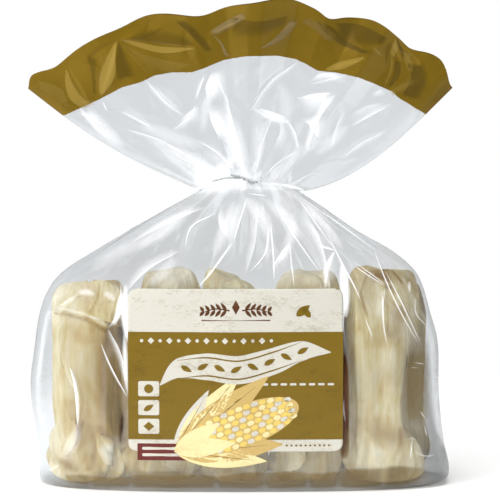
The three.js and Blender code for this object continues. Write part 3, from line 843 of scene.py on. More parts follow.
def pleats(turn, distance, reach):
    """Folds that run out from the tie and die away."""
    fade = (0.4 + smoothstep(distance, 0, 14)) * fall(distance, 10, reach)
    fine = np.cos(19 * turn + 3 * np.sin(3 * turn)) * np.sin(5 * turn + 1)
    broad = np.cos(9 * turn + 1.4 * np.sin(2 * turn + 1))
    return np.abs(np.sin(turn)) ** 0.5 * fade * (0.15 * fine + 0.85 * broad)


FOLD_STEPS = 26  # points along a whitened fold or facet
FOLD_GAP = 0.25  # how far whitened folds and facets stand in front of the film
VEIL_SHARE = 0.6  # the share of its whiteness that a soft painted highlight shows
WHITE_FACET_SHARE = 0.6  # and of its strength that a painted highlight on a facet of the clear film shows
WHITE_FACET_EVEN = 0.25
WHITE_FACET_RUN_OUT = 0.4


def on_film_front(place, film_front):
    """Points just in front of the film at a grid of places x, z, or nothing if one misses it."""
    hits = [film_front.ray_cast((x, -200, z), (0, 1, 0))[0] for x, z in place.reshape(-1, 2)]
    if any(hit is None for hit in hits):
        return None
    y = np.array([hit[1] for hit in hits]).reshape(place.shape[:2])
    return point_grid(place[..., 0], y - FOLD_GAP, place[..., 1])


def strip_on_film(points, offsets, film_front):
    """Places just in front of the film, at offsets in mm beside a smooth line that tapers to both
    its ends, and how far from its ends each is: 0 at an end and 1 half way."""
    line, aside = smooth_line(points, FOLD_STEPS)
    share = np.linspace(0, 1, FOLD_STEPS)
    taper = np.sqrt(np.maximum(4 * share * (1 - share), 0))[:, None]
    place = line[:, None, :] + aside[:, None, :] * (taper * offsets)[..., None]
    return on_film_front(place, film_front), taper


def fold_line(width, white, points, film_front):
    """A painted highlight strip, white along a sharp fold and fading to one side."""
    u = np.linspace(0, 1, 5)
    grid, taper = strip_on_film(points, width * u, film_front)
    return grid, white * taper * (1 - u) ** 1.3


def veil(half_width, white, points, film_front):
    """A broad strip of soft painted highlight, fading to both sides."""
    u = np.linspace(-1, 1, 13)
    grid, taper = strip_on_film(points, half_width * u, film_front)
    return grid, VEIL_SHARE * white * taper**1.5 * (1 - u**2) ** 1.5


def facet(strength, even, sharp, soft, film_front, run_out=0.1):
    """Painted light over a facet between two folds, sharp along the first and fading to the second and
    to its ends; the shady band facets use it for painted shade.
    """
    u = np.linspace(0, 1, 11)[None, :, None]
    edges = [curve_through(way, FOLD_STEPS)[:, None, :] for way in (sharp, soft)]
    grid = on_film_front(lerp(*edges, u), film_front)
    share = np.linspace(0, 1, FOLD_STEPS)[:, None]
    ends = smoothstep(share, 0, run_out) * fall(share, 1 - run_out, 1)
    return grid, strength * ends * fall(u[..., 0], even, 1)


def white_facet(strength, even, sharp, soft, film_front):
    """A painted highlight on a facet of the clear film, fainter and softer than one of the gold band."""
    strength, even = WHITE_FACET_SHARE * strength, WHITE_FACET_EVEN * even
    return facet(strength, even, sharp, soft, film_front, WHITE_FACET_RUN_OUT)


def film_tree(film_grid):
    """A film's surface, to find the places of strips in front of it."""
    points, faces = join_grids([(film_grid, True)])
    return BVHTree.FromPolygons(points.tolist(), faces.tolist())


def make_strips(name, strips, material):
    """One piece from strips of painted light and shade over the film, each a grid of places and how
    strongly it shows at each. A strip that leaves the film has no grid and is left out."""
    strips = [(grid, glint) for grid, glint in strips if grid is not None]
    mesh = join_grids([(grid, False) for grid, _ in strips])
    piece = make_piece(name, *mesh, [material], "film", "bag")
    set_attributes(piece, glint=np.concatenate([glint.ravel() for _, glint in strips]))


SMOOTH_BELOW = 12  # how far below the label the film stays smooth, for the tab that hangs there


def label_clearance(x, z):
    """0 behind the label and its tab, rising to 1 a little way outside them."""
    beyond_x = np.abs(x - LABEL_CENTRE[0]) - LABEL_SIZE[0] / 2
    middle_z = LABEL_CENTRE[1] - SMOOTH_BELOW / 2
    half_height = (LABEL_SIZE[1] + SMOOTH_BELOW) / 2
    beyond_z = np.abs(z - middle_z) - half_height
    return smoothstep(np.maximum(beyond_x, beyond_z), 0.5, 5)


# Angles round the film from its right side fold: first the back, then, closer together, the front.
TURNS = np.concatenate([
    np.linspace(0, np.pi, BACK_COLUMNS, endpoint=False),
    np.linspace(np.pi, 2 * np.pi, FRONT_COLUMNS, endpoint=False),
])

TIE_BULGE = (4.2, 0.4)  # how far the gathered film swells over the tie, in front and at its sides
TIE_BULGE_REACH = 7.5
PLEAT_RISE = 1.0  # how deep the pleats are that run out from the tie
PLEAT_REACH = (55, 70)  # and how far they run, downwards and upwards
FACET_RISE = 2.1  # how far the flat facets stand out, below and above the tie
FRILL_FACET_RISE = 1.9
DEEPEST_DENT = (0.5, 9)  # how far the film is dented at most, over the husks and on the shoulders
# Columns, rows and seed of the flat facets
SHOULDER_FACETS = (19, 7, 7)
SIDE_FACETS = (26, 7, 8)
FRILL_FACETS = (18, 5, 9)
SIDE_FACET_SHARE = 0.7
SOFTNESS = 0.5  # the share of a crease's rise that the soft clear film of the front keeps
BAND_SOFTNESS = 0.45  # and that the gold band keeps
NECK_PLACE = np.array((6.5, NECK_HEIGHT))
# Where loose creases lie: the middle and the spread of a box in x and z, and how much they aim
# at the neck
BODY_CREASING = (np.array((-3, 92)), np.array((132, 88)), 0.45)
FRILL_CREASING = (np.array((6, 250)), np.array((120, 62)), 0.6)


def tie_bulge(turn, distance):
    """How far the gathered film stands out where it rolls over the tie, in mm."""
    uneven = 1 + 0.12 * np.sin(7 * turn) + 0.08 * np.sin(12 * turn + 1)
    swell = lerp(*TIE_BULGE, np.cos(turn) ** 2)
    return swell * uneven * bump(distance, TIE_BULGE_REACH)


def body_relief(turn, grid, below_neck):
    """Facets and creases of the film below the tie, in mm outwards."""
    x, z = grid[..., 0], grid[..., 2]
    front = SOFTNESS * crease_relief(x, z, BODY_CREASES)
    front += SOFTNESS * loose_creases(x, z, *BODY_CREASING, seed=3, count=16)
    back = loose_creases(x, z, *BODY_CREASING, seed=4, count=110)
    round_share = turn / (2 * np.pi)
    shoulders = smoothstep(z, 112, 138)
    radial = facet_relief(round_share, below_neck / NECK_HEIGHT, *SHOULDER_FACETS)
    upright = facet_relief(round_share, z / NECK_HEIGHT, *SIDE_FACETS)
    facets = FACET_RISE * lerp(SIDE_FACET_SHARE * upright, radial, shoulders)
    clear = label_clearance(x, z)
    relief = np.where(np.sin(turn) < 0, (front + facets) * clear, back + facets)
    relief *= smoothstep(below_neck, 1, 14) * np.minimum(1, np.abs(np.sin(turn)) * 3)
    deepest = lerp(*DEEPEST_DENT, smoothstep(z, FILL_HEIGHT - 2, FILL_HEIGHT + 22))
    return np.maximum(relief, -deepest) * smoothstep(z, 0, 5)


def creased(turn, grid, relief, from_neck, pleat_reach):
    """The film with its relief, and pleated and swollen where it is gathered at the tie."""
    grid = grid + grid_normals(grid) * relief[..., None]
    swell = PLEAT_RISE * pleats(turn, from_neck, pleat_reach) + tie_bulge(turn, from_neck)
    return grid + outward(grid) * swell[..., None]


def body_grid():
    """The film below the tie, and how far below the neck each of its points is."""
    turn, z = np.meshgrid(TURNS, np.linspace(0, NECK_HEIGHT, BODY_ROWS))
    grid = body_point(turn, z)
    below_neck = NECK_HEIGHT - z
    relief = body_relief(turn, grid, below_neck)
    return creased(turn, grid, relief, below_neck, PLEAT_REACH[0]), below_neck


def band_start(turn):
    """The height, from 0 at the neck to 1 at the mouth, where the gold band begins."""
    heights = np.linspace(0.4, 1, 241)[:, None]
    points = frill_point(*np.broadcast_arrays(turn, heights))
    edge = np.interp(points[..., 0], BAND_EDGE[:, 0], BAND_EDGE[:, 1])
    return heights[np.argmax(points[..., 2] > edge, axis=0), 0]


def frill_relief(turn, grid, height):
    """Facets and creases of the film above the tie, in mm outwards."""
    x, z = grid[..., 0], grid[..., 2]
    front = SOFTNESS * crease_relief(x, z, FRILL_CREASES)
    front += BAND_SOFTNESS * crease_relief(x, z, BAND_CREASES)
    front += SOFTNESS * loose_creases(x, z, *FRILL_CREASING, seed=5, count=12)
    back = loose_creases(x, z, *FRILL_CREASING, seed=6, count=110)
    facets = facet_relief(turn / (2 * np.pi), height, *FRILL_FACETS)
    return np.where(np.sin(turn) < 0, front, back) + FRILL_FACET_RISE * height * facets


def frill_grid():
    """The film above the tie, and how far above the neck each of its points is."""
    start = band_start(TURNS)
    below = np.linspace(0, 1, FRILL_ROWS)[:, None] * start
    above = lerp(start, 1, np.linspace(0, 1, BAND_ROWS + 1)[1:, None])
    height = np.concatenate([below, above])
    turn = np.broadcast_to(TURNS, height.shape)
    grid = frill_point(turn, height)
    above_neck = np.linalg.norm(grid - grid[:1], axis=2)
    relief = frill_relief(turn, grid, height)
    relief *= smoothstep(above_neck, 1, 14) * np.minimum(1, np.abs(np.sin(turn)) * 4)
    return creased(turn, grid, relief, above_neck, PLEAT_REACH[1]), above_neck


def base_grid(ring):
    """The flat film under the tamales, from its middle out to the lowest ring."""
    middle = ring.mean(0)
    shrink = np.linspace(1, 0.02, BASE_ROWS)[::-1, None, None]
    grid = middle + (ring - middle)[None] * shrink
    ripple = np.abs(np.sin(grid[..., 0] * 0.21) * np.sin(grid[..., 1] * 0.3 + 1))
    grid[..., 2] = 0.25 * ripple * (1 - shrink[..., 0] ** 4)
    return grid


# How milky the gathered film is at the tie, and how far that reaches
GATHER_MILK = ((0.22, 5), (0.12, 24))


def gather_share(distance):
    """How milky the film is because it is gathered, fading out away from the tie."""
    return sum(strength * bump(distance, reach) for strength, reach in GATHER_MILK)


# Soft patches of painted light on the film, a milky white cover: middle x, z, reach across and up,
# strength.
HAZE_PATCHES = (
    (-10, 211, 29, 17, 1.0), (0, 244, 22, 20, 0.7), (-48, 218, 20, 10, 0.6), (-25, 198, 20, 8, 0.8),
    (6, 196, 26, 9, 0.7), (29, 181, 13, 12, 0.8), (48, 163, 14, 14, 0.6), (-7, 172, 8, 15, 0.8),
    (29, 151, 8, 9, 0.7), (-57, 144, 17, 9, 0.4), (20, 262, 14, 12, 0.4), (-74, 122, 7, 14, 0.6),
    (-48, 141, 20, 9, 0.6), (38, 141, 24, 8, 0.6), (-12, 136, 16, 6, 0.4),
)
HAZE_FRONT = 0.62  # the share of the patches' strength that the front film shows
HAZE_BACK = 0.2


def haze_share(turn, grid):
    """How strong the painted light patches are at each of the film's points."""
    x, z = grid[..., 0], grid[..., 2]
    patches = sum(
        strength * bump(x - at_x, across) * bump(z - at_z, up)
        for at_x, at_z, across, up, strength in HAZE_PATCHES
    )
    return np.where(np.sin(turn) < 0, HAZE_FRONT, HAZE_BACK) * patches


# Where the film's lower right side has painted shade: height and x where it begins and ends.
DUSK_STARTS = ((30, 118), (41, 114), (56, 107))
DUSK_LIMITS = (
    (0, 140), (18, 138), (28, 130), (38, 127.5), (60, 124.5), (92, 121.5), (118, 116),
)
SIDE_DUSK = 0.95
SHOULDER_DUSK = 0.12


def film_shade(grid):
    """Painted shade on the film at its lower right side, and a little painted shade on the shoulders."""
    x, z = grid[..., 0], grid[..., 2]
    start, limit = (np.interp(z, *zip(*way)) for way in (DUSK_STARTS, DUSK_LIMITS))
    side = smoothstep(x, start - 5, start + 5) * fall(x, limit - 1.5, limit + 1.5)
    shoulders = smoothstep(z, 118, 142) + bump(x + 85, 35) * bump(z - 150, 25)
    return SIDE_DUSK * side * fall(z, 80, 125) + SHOULDER_DUSK * shoulders


# Painted dark shade in the gaps between the husks: lower end x, z, upper end x, z, half width and
# strength.
GAPS = (((67, 19), (66.6, 106), 2.4, 0.9), ((-77.5, 26), (-72.5, 66), 1.9, 0.3))
GAP_START = 9  # how far up from its lower end a gap reaches its full shade
DARK_SHADE = (0.02, 0.3)  # the painted shade at which a gap begins to be painted dark brown, and is so fully


def gap_shade(grid):
    """How deep the painted shade is in the gaps between the husks, from 0 to 1."""
    x, z = grid[..., 0], grid[..., 2]
    total = np.zeros_like(x)
    for (low_x, low), (high_x, high), reach, strength in GAPS:
        at = np.interp(z, (low, high), (low_x, high_x))
        rise = smoothstep(z, low, low + GAP_START) * fall(z, (low + high) / 2, high)
        total += strength * rise * bump(x - at, reach)
    return total


def flank_shade(grid):
    """Painted shade on the film where the outer tamales turn away from the light, from 0 to 1."""
    x, z = grid[..., 0], grid[..., 2]
    left = smoothstep(x, -90, -82) * fall(x, -77, -72) * smoothstep(z, 26, 44)
    right = smoothstep(x, 102, 110) * fall(x, 119, 124) * smoothstep(z, 34, 54)
    return (left + right) * fall(z, 76, 108)


FOOT_MIDDLE = 2  # x of the middle of the painted shade round the foot
FOOT_STREAKS = (-96, -69.5, -15, 16, 44, 63.5, 92.5)  # x of the paler streaks in that painted shade
STREAK_REACH = 2.4
STREAK_PALENESS = 0.22
# How strong the painted brown shade on the film is round the husks' foot, under them, in the gaps and on
# the flanks
FOOT_BROWN = 0.4
UNDER_BROWN = 0.3
GAP_BROWN = 0.55
FLANK_BROWN = 0.22


def film_brown(turn, grid):
    """Painted brown shade on the film, standing for husk in shade seen through it: round its foot, under
    it, in the gaps beside the label and on the outer flanks."""
    x, y, z = grid[..., 0], grid[..., 1], grid[..., 2]
    aside = np.abs(x - FOOT_MIDDLE)
    under = UNDER_BROWN * (z < 0.8) * fall(aside, 112, 126) * smoothstep(y, -37, -20)
    edge = 13.6 + 0.027 * x + 0.8 * np.sin(x / 11) + 0.5 * np.sin(x / 5.3 + 1)
    streaks = sum(bump(x - at, STREAK_REACH) for at in FOOT_STREAKS)
    uneven = FOOT_BROWN + 0.06 * np.sin(x / 5.3) * np.sin(x / 13 + 2) - STREAK_PALENESS * streaks
    low = fall(z, edge - 3, edge) * smoothstep(z, -1, 9)
    foot = uneven * low * fall(aside, 100, 126)
    front = np.maximum(foot, GAP_BROWN * gap_shade(grid))
    front = np.maximum(front, FLANK_BROWN * flank_shade(grid))
    return np.maximum(np.where(np.sin(turn) < 0, front, 0), under)


def make_body(film):
    """The film below the tie with its flat base, and the grid of its upright part."""
    body, below_neck = body_grid()
    _, half_width, depth, _ = section(np.float64(0))
    inset = np.array((1 - BASE_INSET / half_width, 1 - BASE_INSET / depth, 1))
    middle = body[0].mean(0)
    body[0] = middle + (body[0] - middle) * inset
    base = base_grid(body[0])[:-1]
    grid = np.concatenate([base, body])
    piece = make_piece("film_body", *join_grids([(grid, True)]), [film], "film", "bag")
    below_neck = np.concatenate([np.full(base.shape[:2], NECK_HEIGHT), below_neck])
    set_attributes(
        piece, gather=gather_share(below_neck), shade=film_shade(grid),
        brown=film_brown(TURNS, grid), dark=smoothstep(gap_shade(grid), *DARK_SHADE),
        haze=haze_share(TURNS, grid),
    )
    return body


def make_frill(film, band):
    """The film above the tie, printed gold along the mouth, and its grid."""
    frill, above_neck = frill_grid()
    points, faces = join_grids([(frill, True)])
    in_band = np.arange(len(faces)) // len(TURNS) >= FRILL_ROWS - 1
    materials = [film, band]
    piece = make_piece("film_frill", points, faces, materials, "film", "bag", in_band.astype(int))
    set_attributes(
        piece, gather=gather_share(above_neck), shade=0, brown=0, dark=0,
        haze=haze_share(TURNS, frill),
    )
    return frill


FRILL_LINE_WIDTH = 0.7  # as a share of the crease's half width
FRILL_LINE_WHITE = 0.45


def frill_fold_lines():
    """Painted highlight lines along the creases of the clear part of the frill, with a soft side."""
    lines = []
    for x0, z0, x1, z1, half_width, rise, bend in FRILL_CREASES:
        length = math.hypot(x1 - x0, z1 - z0)
        middle = (
            (x0 + x1) / 2 + (z1 - z0) / length * bend,
            (z0 + z1) / 2 - (x1 - x0) / length * bend,
        )
        width = math.copysign(half_width * FRILL_LINE_WIDTH, rise)
        lines.append((width, FRILL_LINE_WHITE, (x0, z0), middle, (x1, z1)))
    return lines


def make_film():
    """The film, with painted highlights along its folds and on its facets, broad soft painted
    highlights, and painted highlights and shade on the facets of its band.
    """
    film = film_material()
    body_front = film_tree(make_body(film))
    frill_front = film_tree(make_frill(film, band_material()))
    # Painted highlights on the clear film, white and glowing a little.
    folded = glint_material(
        "folded_film", colour(252, 253, 255), light=WHITE, glow=0.3, roughness=0.22,
        crinkle=FOLD_CRINKLE,
    )
    for name, lines, veils, facets, film_front in (
        ("film_body_folds", BODY_FOLD_LINES, BODY_VEILS, WHITE_BODY_FACETS, body_front),
        ("film_frill_folds", frill_fold_lines(), FRILL_VEILS, WHITE_FRILL_FACETS, frill_front),
    ):
        strips = [fold_line(width, white, way, film_front) for width, white, *way in lines]
        strips += [veil(reach, white, way, film_front) for reach, white, *way in veils]
        strips += [white_facet(*spec, film_front) for spec in facets]
        make_strips(name, strips, folded)
    # Painted highlights, greyish painted highlights and painted shade on the gold band; the highlights
    # glow a little.
    for name, facets, tint, glow in (
        ("band_bright_facets", BRIGHT_FACETS, colour(150, 124, 46), 0.08),
        ("band_grey_facets", GREY_FACETS, colour(146, 126, 86), 0.15),
        ("band_shady_facets", SHADY_FACETS, colour(98, 77, 8), 0.0),
    ):
        material = glint_material(name, tint, tint, glow, roughness=0.4, crinkle=BAND_CRINKLE)
        make_strips(name, [facet(*spec, frill_front) for spec in facets], material)


# ---- Tamales ----
TAMALE_ROWS, TAMALE_AROUND = 150, 168
LEAF_GRID = (100, 60)  # rows and columns of a husk's outer leaf, of a cap and of an ear
CAP_GRID = (60, 90)
EAR_GRID = (30, 20)
TAMALE_BASE = 3  # the height at which a tamale's skin begins
FOOT_CURVE = 10  # radius of the foot's rounded edge
FOOT_FLARE = 4  # how far the foot spreads to each side
PINCH = (40, 10, 1.2)  # where the husk is drawn in above its crumpled end: height, reach, depth
VALLEY = 3.2  # how far the husk is drawn in between the lobes of its foot
CRUMPLING = (0.12, 0.75, 0.3)  # how deep the small folds are all over, and more at foot and tip
WAIST = (54, 26)  # the height and the reach of a drawn-in right side
TAMALE_SQUARENESS = 3  # of the superellipse seen from above
END_SQUARENESS = 6.5  # and of the one seen from the side
PROFILE_STEPS = 1200
HUSK_THICKNESS = 0.5
FILM_CLEARANCE = 1.5
PRESS = 0.8  # how gently, in mm, husk that meets the film is held back
# How much darker and browner the foot is, how much painted shade lies in the valleys between its lobes,
# and how much browner the outer leaf is
FOOT_TOAST = 0.15
VALLEY_TOAST = 0.3
LEAF_TOAST = 0.12
# and how much paler the leaf's free edge is, and how much painted light pales a lobe for each mm that it
# stands out, a cap near its lower edge and an ear where it curls out
LOBE_PALENESS = 0.1
EDGE_PALENESS = 0.4
CAP_PALENESS = 0.12
EAR_PALENESS = 0.3


def end_profile(count):
    """Radius share and height share of a rounded pillar, at even steps along its outline."""
    angle = np.linspace(-np.pi / 2, np.pi / 2, 4001)
    radius = signed_power(np.cos(angle), 2 / END_SQUARENESS)
    height = signed_power(np.sin(angle), 2 / END_SQUARENESS)
    step = np.hypot(np.diff(radius) * 0.35, np.diff(height))
    travelled = np.concatenate([[0], np.cumsum(step)])
    even = np.linspace(0, travelled[-1], count)
    return np.interp(even, travelled, radius), np.interp(even, travelled, height)


PROFILE_RADIUS, PROFILE_HEIGHT = end_profile(PROFILE_STEPS)
PROFILE_SHARE = np.linspace(0, 1, PROFILE_STEPS)


def husk_lumps(random, angle, share):
    """Soft unevenness, lengthwise ribs and a few long folds, in mm."""
    total = np.zeros_like(angle)
    for _ in range(10):
        wave = np.cos(random.integers(1, 5) * angle + random.uniform(0, 6.3))
        swing = np.cos(random.uniform(0.5, 3.2) * np.pi * share + random.uniform(0, 6.3))
        total += random.uniform(0.2, 0.5) * wave * swing
    for _ in range(14):
        turns = random.integers(11, 45)
        drift = random.uniform(0.05, 0.2) * np.sin(random.uniform(2, 6) * share)
        fade = 0.6 + 0.4 * np.cos(random.uniform(1, 4) * np.pi * share + random.uniform(0, 6.3))
        ridge = np.cos(turns * (angle + drift) + random.uniform(0, 6.3))
        total += random.uniform(0.03, 0.08) * fade * ridge
    for count in (5, 8):
        drift = random.uniform(-0.5, 0.5) * share
        total += 0.7 * fold_wave(count * (angle + drift) / (2 * np.pi) + random.uniform(0, 1))
    for _ in range(7):
        at, lean = random.uniform(0, 2 * np.pi), random.uniform(-0.5, 0.5)
        apart = np.abs((angle - at - lean * share + np.pi) % (2 * np.pi) - np.pi)
        start, length = random.uniform(-0.3, 0.6), random.uniform(0.3, 0.9)
        run = smoothstep(share, start, start + 0.2) * smoothstep(start + length - share, 0, 0.2)
        fold = np.clip(1 - apart / random.uniform(0.1, 0.22), 0, 1)
        total += random.uniform(-1, 1) * run * fold
    return total


def random_lobes(random, share, count=7):
    """Crumpled lobes all round a husk's lower end, as high as the share says."""
    lobes = []
    for number in range(count):
        at = number * 360 / count + random.uniform(-8, 8)
        lobes.append((
            at, random.uniform(4, 24), random.uniform(20, 34), random.uniform(14, 24),
            share * random.uniform(1, 2.5),
        ))
    return lobes


def lobe_relief(lobes, angle, height):
    """How far the crumpled lobes stand out: folds with a sharp crest, crossing each other."""
    relief = np.zeros_like(angle)
    for at, middle, half_turn, half_height, rise in lobes:
        leaning = 0.5 * (height - middle) * math.sin(5 * at)
        apart = np.abs(degrees_apart(angle, at + leaning)) / half_turn
        level = np.clip(1 - ((height - middle) / half_height) ** 2, 0, 1)
        relief = np.maximum(relief, rise * level * np.maximum(1 - apart, 0) ** 0.85)
    return relief


def inside_film(points):
    """The points, held back where they would stand out through the film."""
    x, y, z = points[..., 0], points[..., 1], points[..., 2]
    middle, half_width, depth, squareness = section(np.clip(z, 0, NECK_HEIGHT))
    across = np.clip((x - middle) / (half_width - FILM_CLEARANCE), -0.995, 0.995)
    reach = depth * (1 - np.abs(across) ** squareness) ** (1 / squareness) - FILM_CLEARANCE
    reach += np.where(y < 0, rib_relief(x, z, FRONT_RIBS), rib_relief(x, z, BACK_RIBS))
    y = np.sign(y) * (reach - PRESS * np.logaddexp(0, (reach - np.abs(y)) / PRESS))
    return point_grid(middle + across * (half_width - FILM_CLEARANCE), y, np.maximum(z, 0.9))


class Tamale:
    """One husk-wrapped tamale standing on end. Its attributes, in mm and in degrees round it:"""

    x, y = 0, -18  # its middle
    width, depth, top = 48, 40, 135  # its full size, and the height of its upper end
    slope = 0  # how much its top leans, in mm a mm to the right
    taper = 0  # how much narrower its upper end is, as a share
    waist = 0  # how far its right side is drawn in
    cap = None  # the heights, at left and right, down to which a husk end is folded over its front
    crumpled = 1  # how crumpled its foot is
    lobes = ()  # what its foot is crumpled into: angle, height, half width, half height and rise
    bulges = ()  # where it stands out, in the same five numbers
    dents = ()  # and where it is pressed in
    ears = ()  # loose ends of husk: angle, height, lean, length, width and how far they stand out
    edge = 270  # the angle at which the outer leaf's free edge runs up
    tint = 0  # how browned it is all over, or how pale where this is negative
    toast = 0  # and at its upper end
    left = 0  # and at its left side, as painted shade, and painted light where negative
    flank = (0, 0, 1)  # painted shade at its right side, turned from the light, and the cosines of where that begins and is full
    spots = ()  # browned spots: angle, height, size and strength
    marks = ()  # lines on its front, painted shade and browning where strength is positive and painted highlight where negative: strength, reach, and points x, z

    def __init__(self, seed, **attributes):
        vars(self).update(attributes)
        self.seed = seed
        random = np.random.default_rng(seed + 7)
        self.lobes = [*self.lobes, *random_lobes(random, self.crumpled)]

    def height_at(self, share):
        """The height above its base at a share of the way up."""
        level = np.interp(share, PROFILE_SHARE, PROFILE_HEIGHT)
        return (self.top - TAMALE_BASE) * (level + 1) / 2

    def share_at(self, z):
        """The share of the way up at which the skin is at a height."""
        level = 2 * (z - TAMALE_BASE) / (self.top - TAMALE_BASE) - 1
        return np.interp(level, PROFILE_HEIGHT, PROFILE_SHARE)

    def crumpling(self, angle, height):
        """Small sharp folds that run all ways, in mm: deep at its foot and less at its top."""
        random = np.random.default_rng(self.seed + 3)
        foot = fall(height, 22, 46)
        tip = smoothstep(height, self.top - 30, self.top - 8)
        depth = CRUMPLING[0] + CRUMPLING[1] * foot * self.crumpled + CRUMPLING[2] * tip
        place = point_grid(self.width / 2 * np.cos(angle), self.depth / 2 * np.sin(angle), height)
        total = np.zeros_like(angle)
        for _ in range(11):
            way = random.normal(size=3) * (1, 1, 0.6)
            bend = random.normal(size=3)
            length = random.uniform(9, 30)
            along = place @ (way / np.linalg.norm(way)) / length
            swerve = 0.22 * np.sin(place @ (bend / np.linalg.norm(bend)) / 9)
            total += 0.05 * length * fold_wave(along + swerve + random.uniform(0, 1))
        return depth * total

    def surface(self, angle, share):
        """Points of its skin: angle round it, share of the way from its foot to its tip."""
        radius = np.interp(share, PROFILE_SHARE, PROFILE_RADIUS)
        level = np.interp(share, PROFILE_SHARE, PROFILE_HEIGHT)
        height = self.height_at(share)
        random = np.random.default_rng(self.seed)
        across = signed_power(np.cos(angle), 2 / TAMALE_SQUARENESS)
        facing = signed_power(np.sin(angle), 2 / TAMALE_SQUARENESS)
        out = husk_lumps(random, angle, share) + self.crumpling(angle, height)
        out += lobe_relief(self.lobes, angle, height) + lobe_relief(self.bulges, angle, height)
        out -= lobe_relief(self.dents, angle, height)
        out -= self.crumpled * VALLEY * fall(height, 18, 34)
        out -= self.crumpled * PINCH[2] * bump(height - PINCH[0], PINCH[1])
        out -= self.waist * bump(height - WAIST[0], WAIST[1]) * smoothstep(np.cos(angle), 0.2, 0.9)
        under = np.clip(1 - height / FOOT_CURVE, 0, 1)
        out -= FOOT_CURVE * (1 - np.sqrt(1 - under**2))
        swell = 1 - 0.07 * bump(share - random.uniform(0.4, 0.55), 0.22)
        swell = swell * (1 - self.taper * smoothstep(height, self.top - 60, self.top - 4))
        flare = FOOT_FLARE * fall(height, 8, 36)
        half_width = (self.width / 2 * swell + out + flare) * radius
        half_depth = (self.depth / 2 * swell + out) * radius
        turned = random.uniform(-0.12, 0.12) * level
        dx = half_width * across * np.cos(turned) - half_depth * facing * np.sin(turned)
        dy = half_width * across * np.sin(turned) + half_depth * facing * np.cos(turned)
        rim = 1.7 * np.cos(3 * angle + self.seed) + 1.1 * np.cos(7 * angle + 2 * self.seed)
        rim += 0.9 * fold_wave(6 * angle / np.pi + self.seed / 7)
        lift = smoothstep(level, 0.5, 1) * (self.slope * dx + rim * radius**2)
        x = self.x + dx + random.uniform(-2, 2) * (1 - level**2)
        return point_grid(x, self.y + dy, TAMALE_BASE + height + lift)

    def tone(self, angle, share):
        """How browned the husk is at a place, with painted shade on its flanks, in the valleys of its
        foot and along lines; where this is negative, how pale it is, partly as painted light on its
        lobes, its left side and lines.
        """
        height = self.height_at(share)
        toast = self.tint + self.toast * smoothstep(height, self.top - 26, self.top - 6)
        # Painted shade on the side turned from the light.
        flank, start, full = self.flank
        side = smoothstep(np.cos(angle), start, full) * smoothstep(height, 22, 38)
        toast += flank * side * fall(height, 88, 112)
        # Painted shade at the left side, and painted light there where negative.
        toast += self.left * smoothstep(-np.cos(angle), 0.5, 0.75)
        toast += FOOT_TOAST * fall(height, 16, 30)
        # Painted shade in the valleys between the foot's lobes, and painted light on the lobes.
        lobes = lobe_relief(self.lobes, angle, height)
        valleys = fall(height, 22, 40) * fall(lobes, 0, 4)
        toast += VALLEY_TOAST * valleys - LOBE_PALENESS * lobes
        for at, level, size, strength in self.spots:
            round_it = np.radians(degrees_apart(angle, at)) * self.width / 2
            toast += strength * bump(round_it, size) * bump(height - level, size)
        x = self.x + self.width / 2 * signed_power(np.cos(angle), 2 / TAMALE_SQUARENESS)
        z = TAMALE_BASE + height
        # Lines of painted shade and of browning, and of painted highlight where negative.
        for strength, reach, *way in self.marks:
            line = curve_through(way, 24)
            apart = np.hypot(x[..., None] - line[:, 0], z[..., None] - line[:, 1]).min(-1)
            toast += (np.sin(angle) < 0) * strength * bump(apart, reach)
        return toast

    def core(self):
        """Points, faces and tone of its skin, closed at both ends."""
        angle, share = np.meshgrid(
            np.linspace(0, 2 * np.pi, TAMALE_AROUND, endpoint=False),
            np.linspace(0.003, 0.997, TAMALE_ROWS),
        )
        points = self.surface(angle, share).reshape(-1, 3)
        ring = np.arange(TAMALE_AROUND)
        ends = [ring[::-1], ring + len(points) - TAMALE_AROUND]
        faces = [*grid_quads(TAMALE_ROWS, TAMALE_AROUND, closed=True), *ends]
        return points, faces, self.tone(angle, share).ravel()

    def patch(self, angles, shares, lift):
        """A layer of husk over part of the skin: lift is its height above it, in mm."""
        grid = self.surface(angles, shares)
        return grid + grid_normals(grid, closed=False) * lift[..., None]

    def outer_leaf(self):
        """The outer husk leaf, with its free edge running up the tamale, and its tone."""
        v, u = share_grid(*LEAF_GRID)
        random = np.random.default_rng(self.seed + 50)
        reach = random.uniform(2.4, 3.0)
        taper = 0.4 * smoothstep(v, 0.6, 1) + 0.5 * fall(v, 0, 0.5)
        lean = random.uniform(-0.3, 0.3) * (v - 0.5)
        angle = math.radians(self.edge) + lean + taper + u * (reach - 2 * taper)
        share = lerp(0.36, 0.9, v)
        lift = 0.7 + 0.7 * fall(u, 0, 0.08) + 0.3 * np.sin(5 * angle + 4 * v)
        tucked_in = smoothstep(v, 0, 0.16) * fall(v, 0.84, 1)
        at_edge = fall(u, 0, 0.05)
        tone = self.tone(angle, share) + LEAF_TOAST - EDGE_PALENESS * at_edge
        return self.patch(angle, share, lerp(-1.2, lift, tucked_in)), tone

    def folded_cap(self):
        """The husk's upper end folded down over the front, creased like a fan, and its tone."""
        v, u = share_grid(*CAP_GRID)
        sag = -1.5 * np.sin(np.pi * u) + 0.7 * np.sin(7 * u + self.seed)
        share = lerp(self.share_at(lerp(*self.cap, u) + sag), 0.985, v)
        angle = np.radians(lerp(196, 344, u))
        fan = fold_wave(6 * (u - 0.6) * (1.3 - v) + 0.1 * self.seed)
        lift = 1.8 + 1.6 * fall(v, 0, 0.12) + 0.4 * np.sin(8 * u + 3 * v + self.seed)
        lift = (lift + 0.45 * fan) * (0.3 + 0.7 * smoothstep(np.minimum(u, 1 - u), 0, 0.15))
        # Painted light: the cap is paler near its folded lower edge.
        tone = self.tone(angle, share) - CAP_PALENESS * fall(v, 0, 0.7)
        return self.patch(angle, share, lift), tone

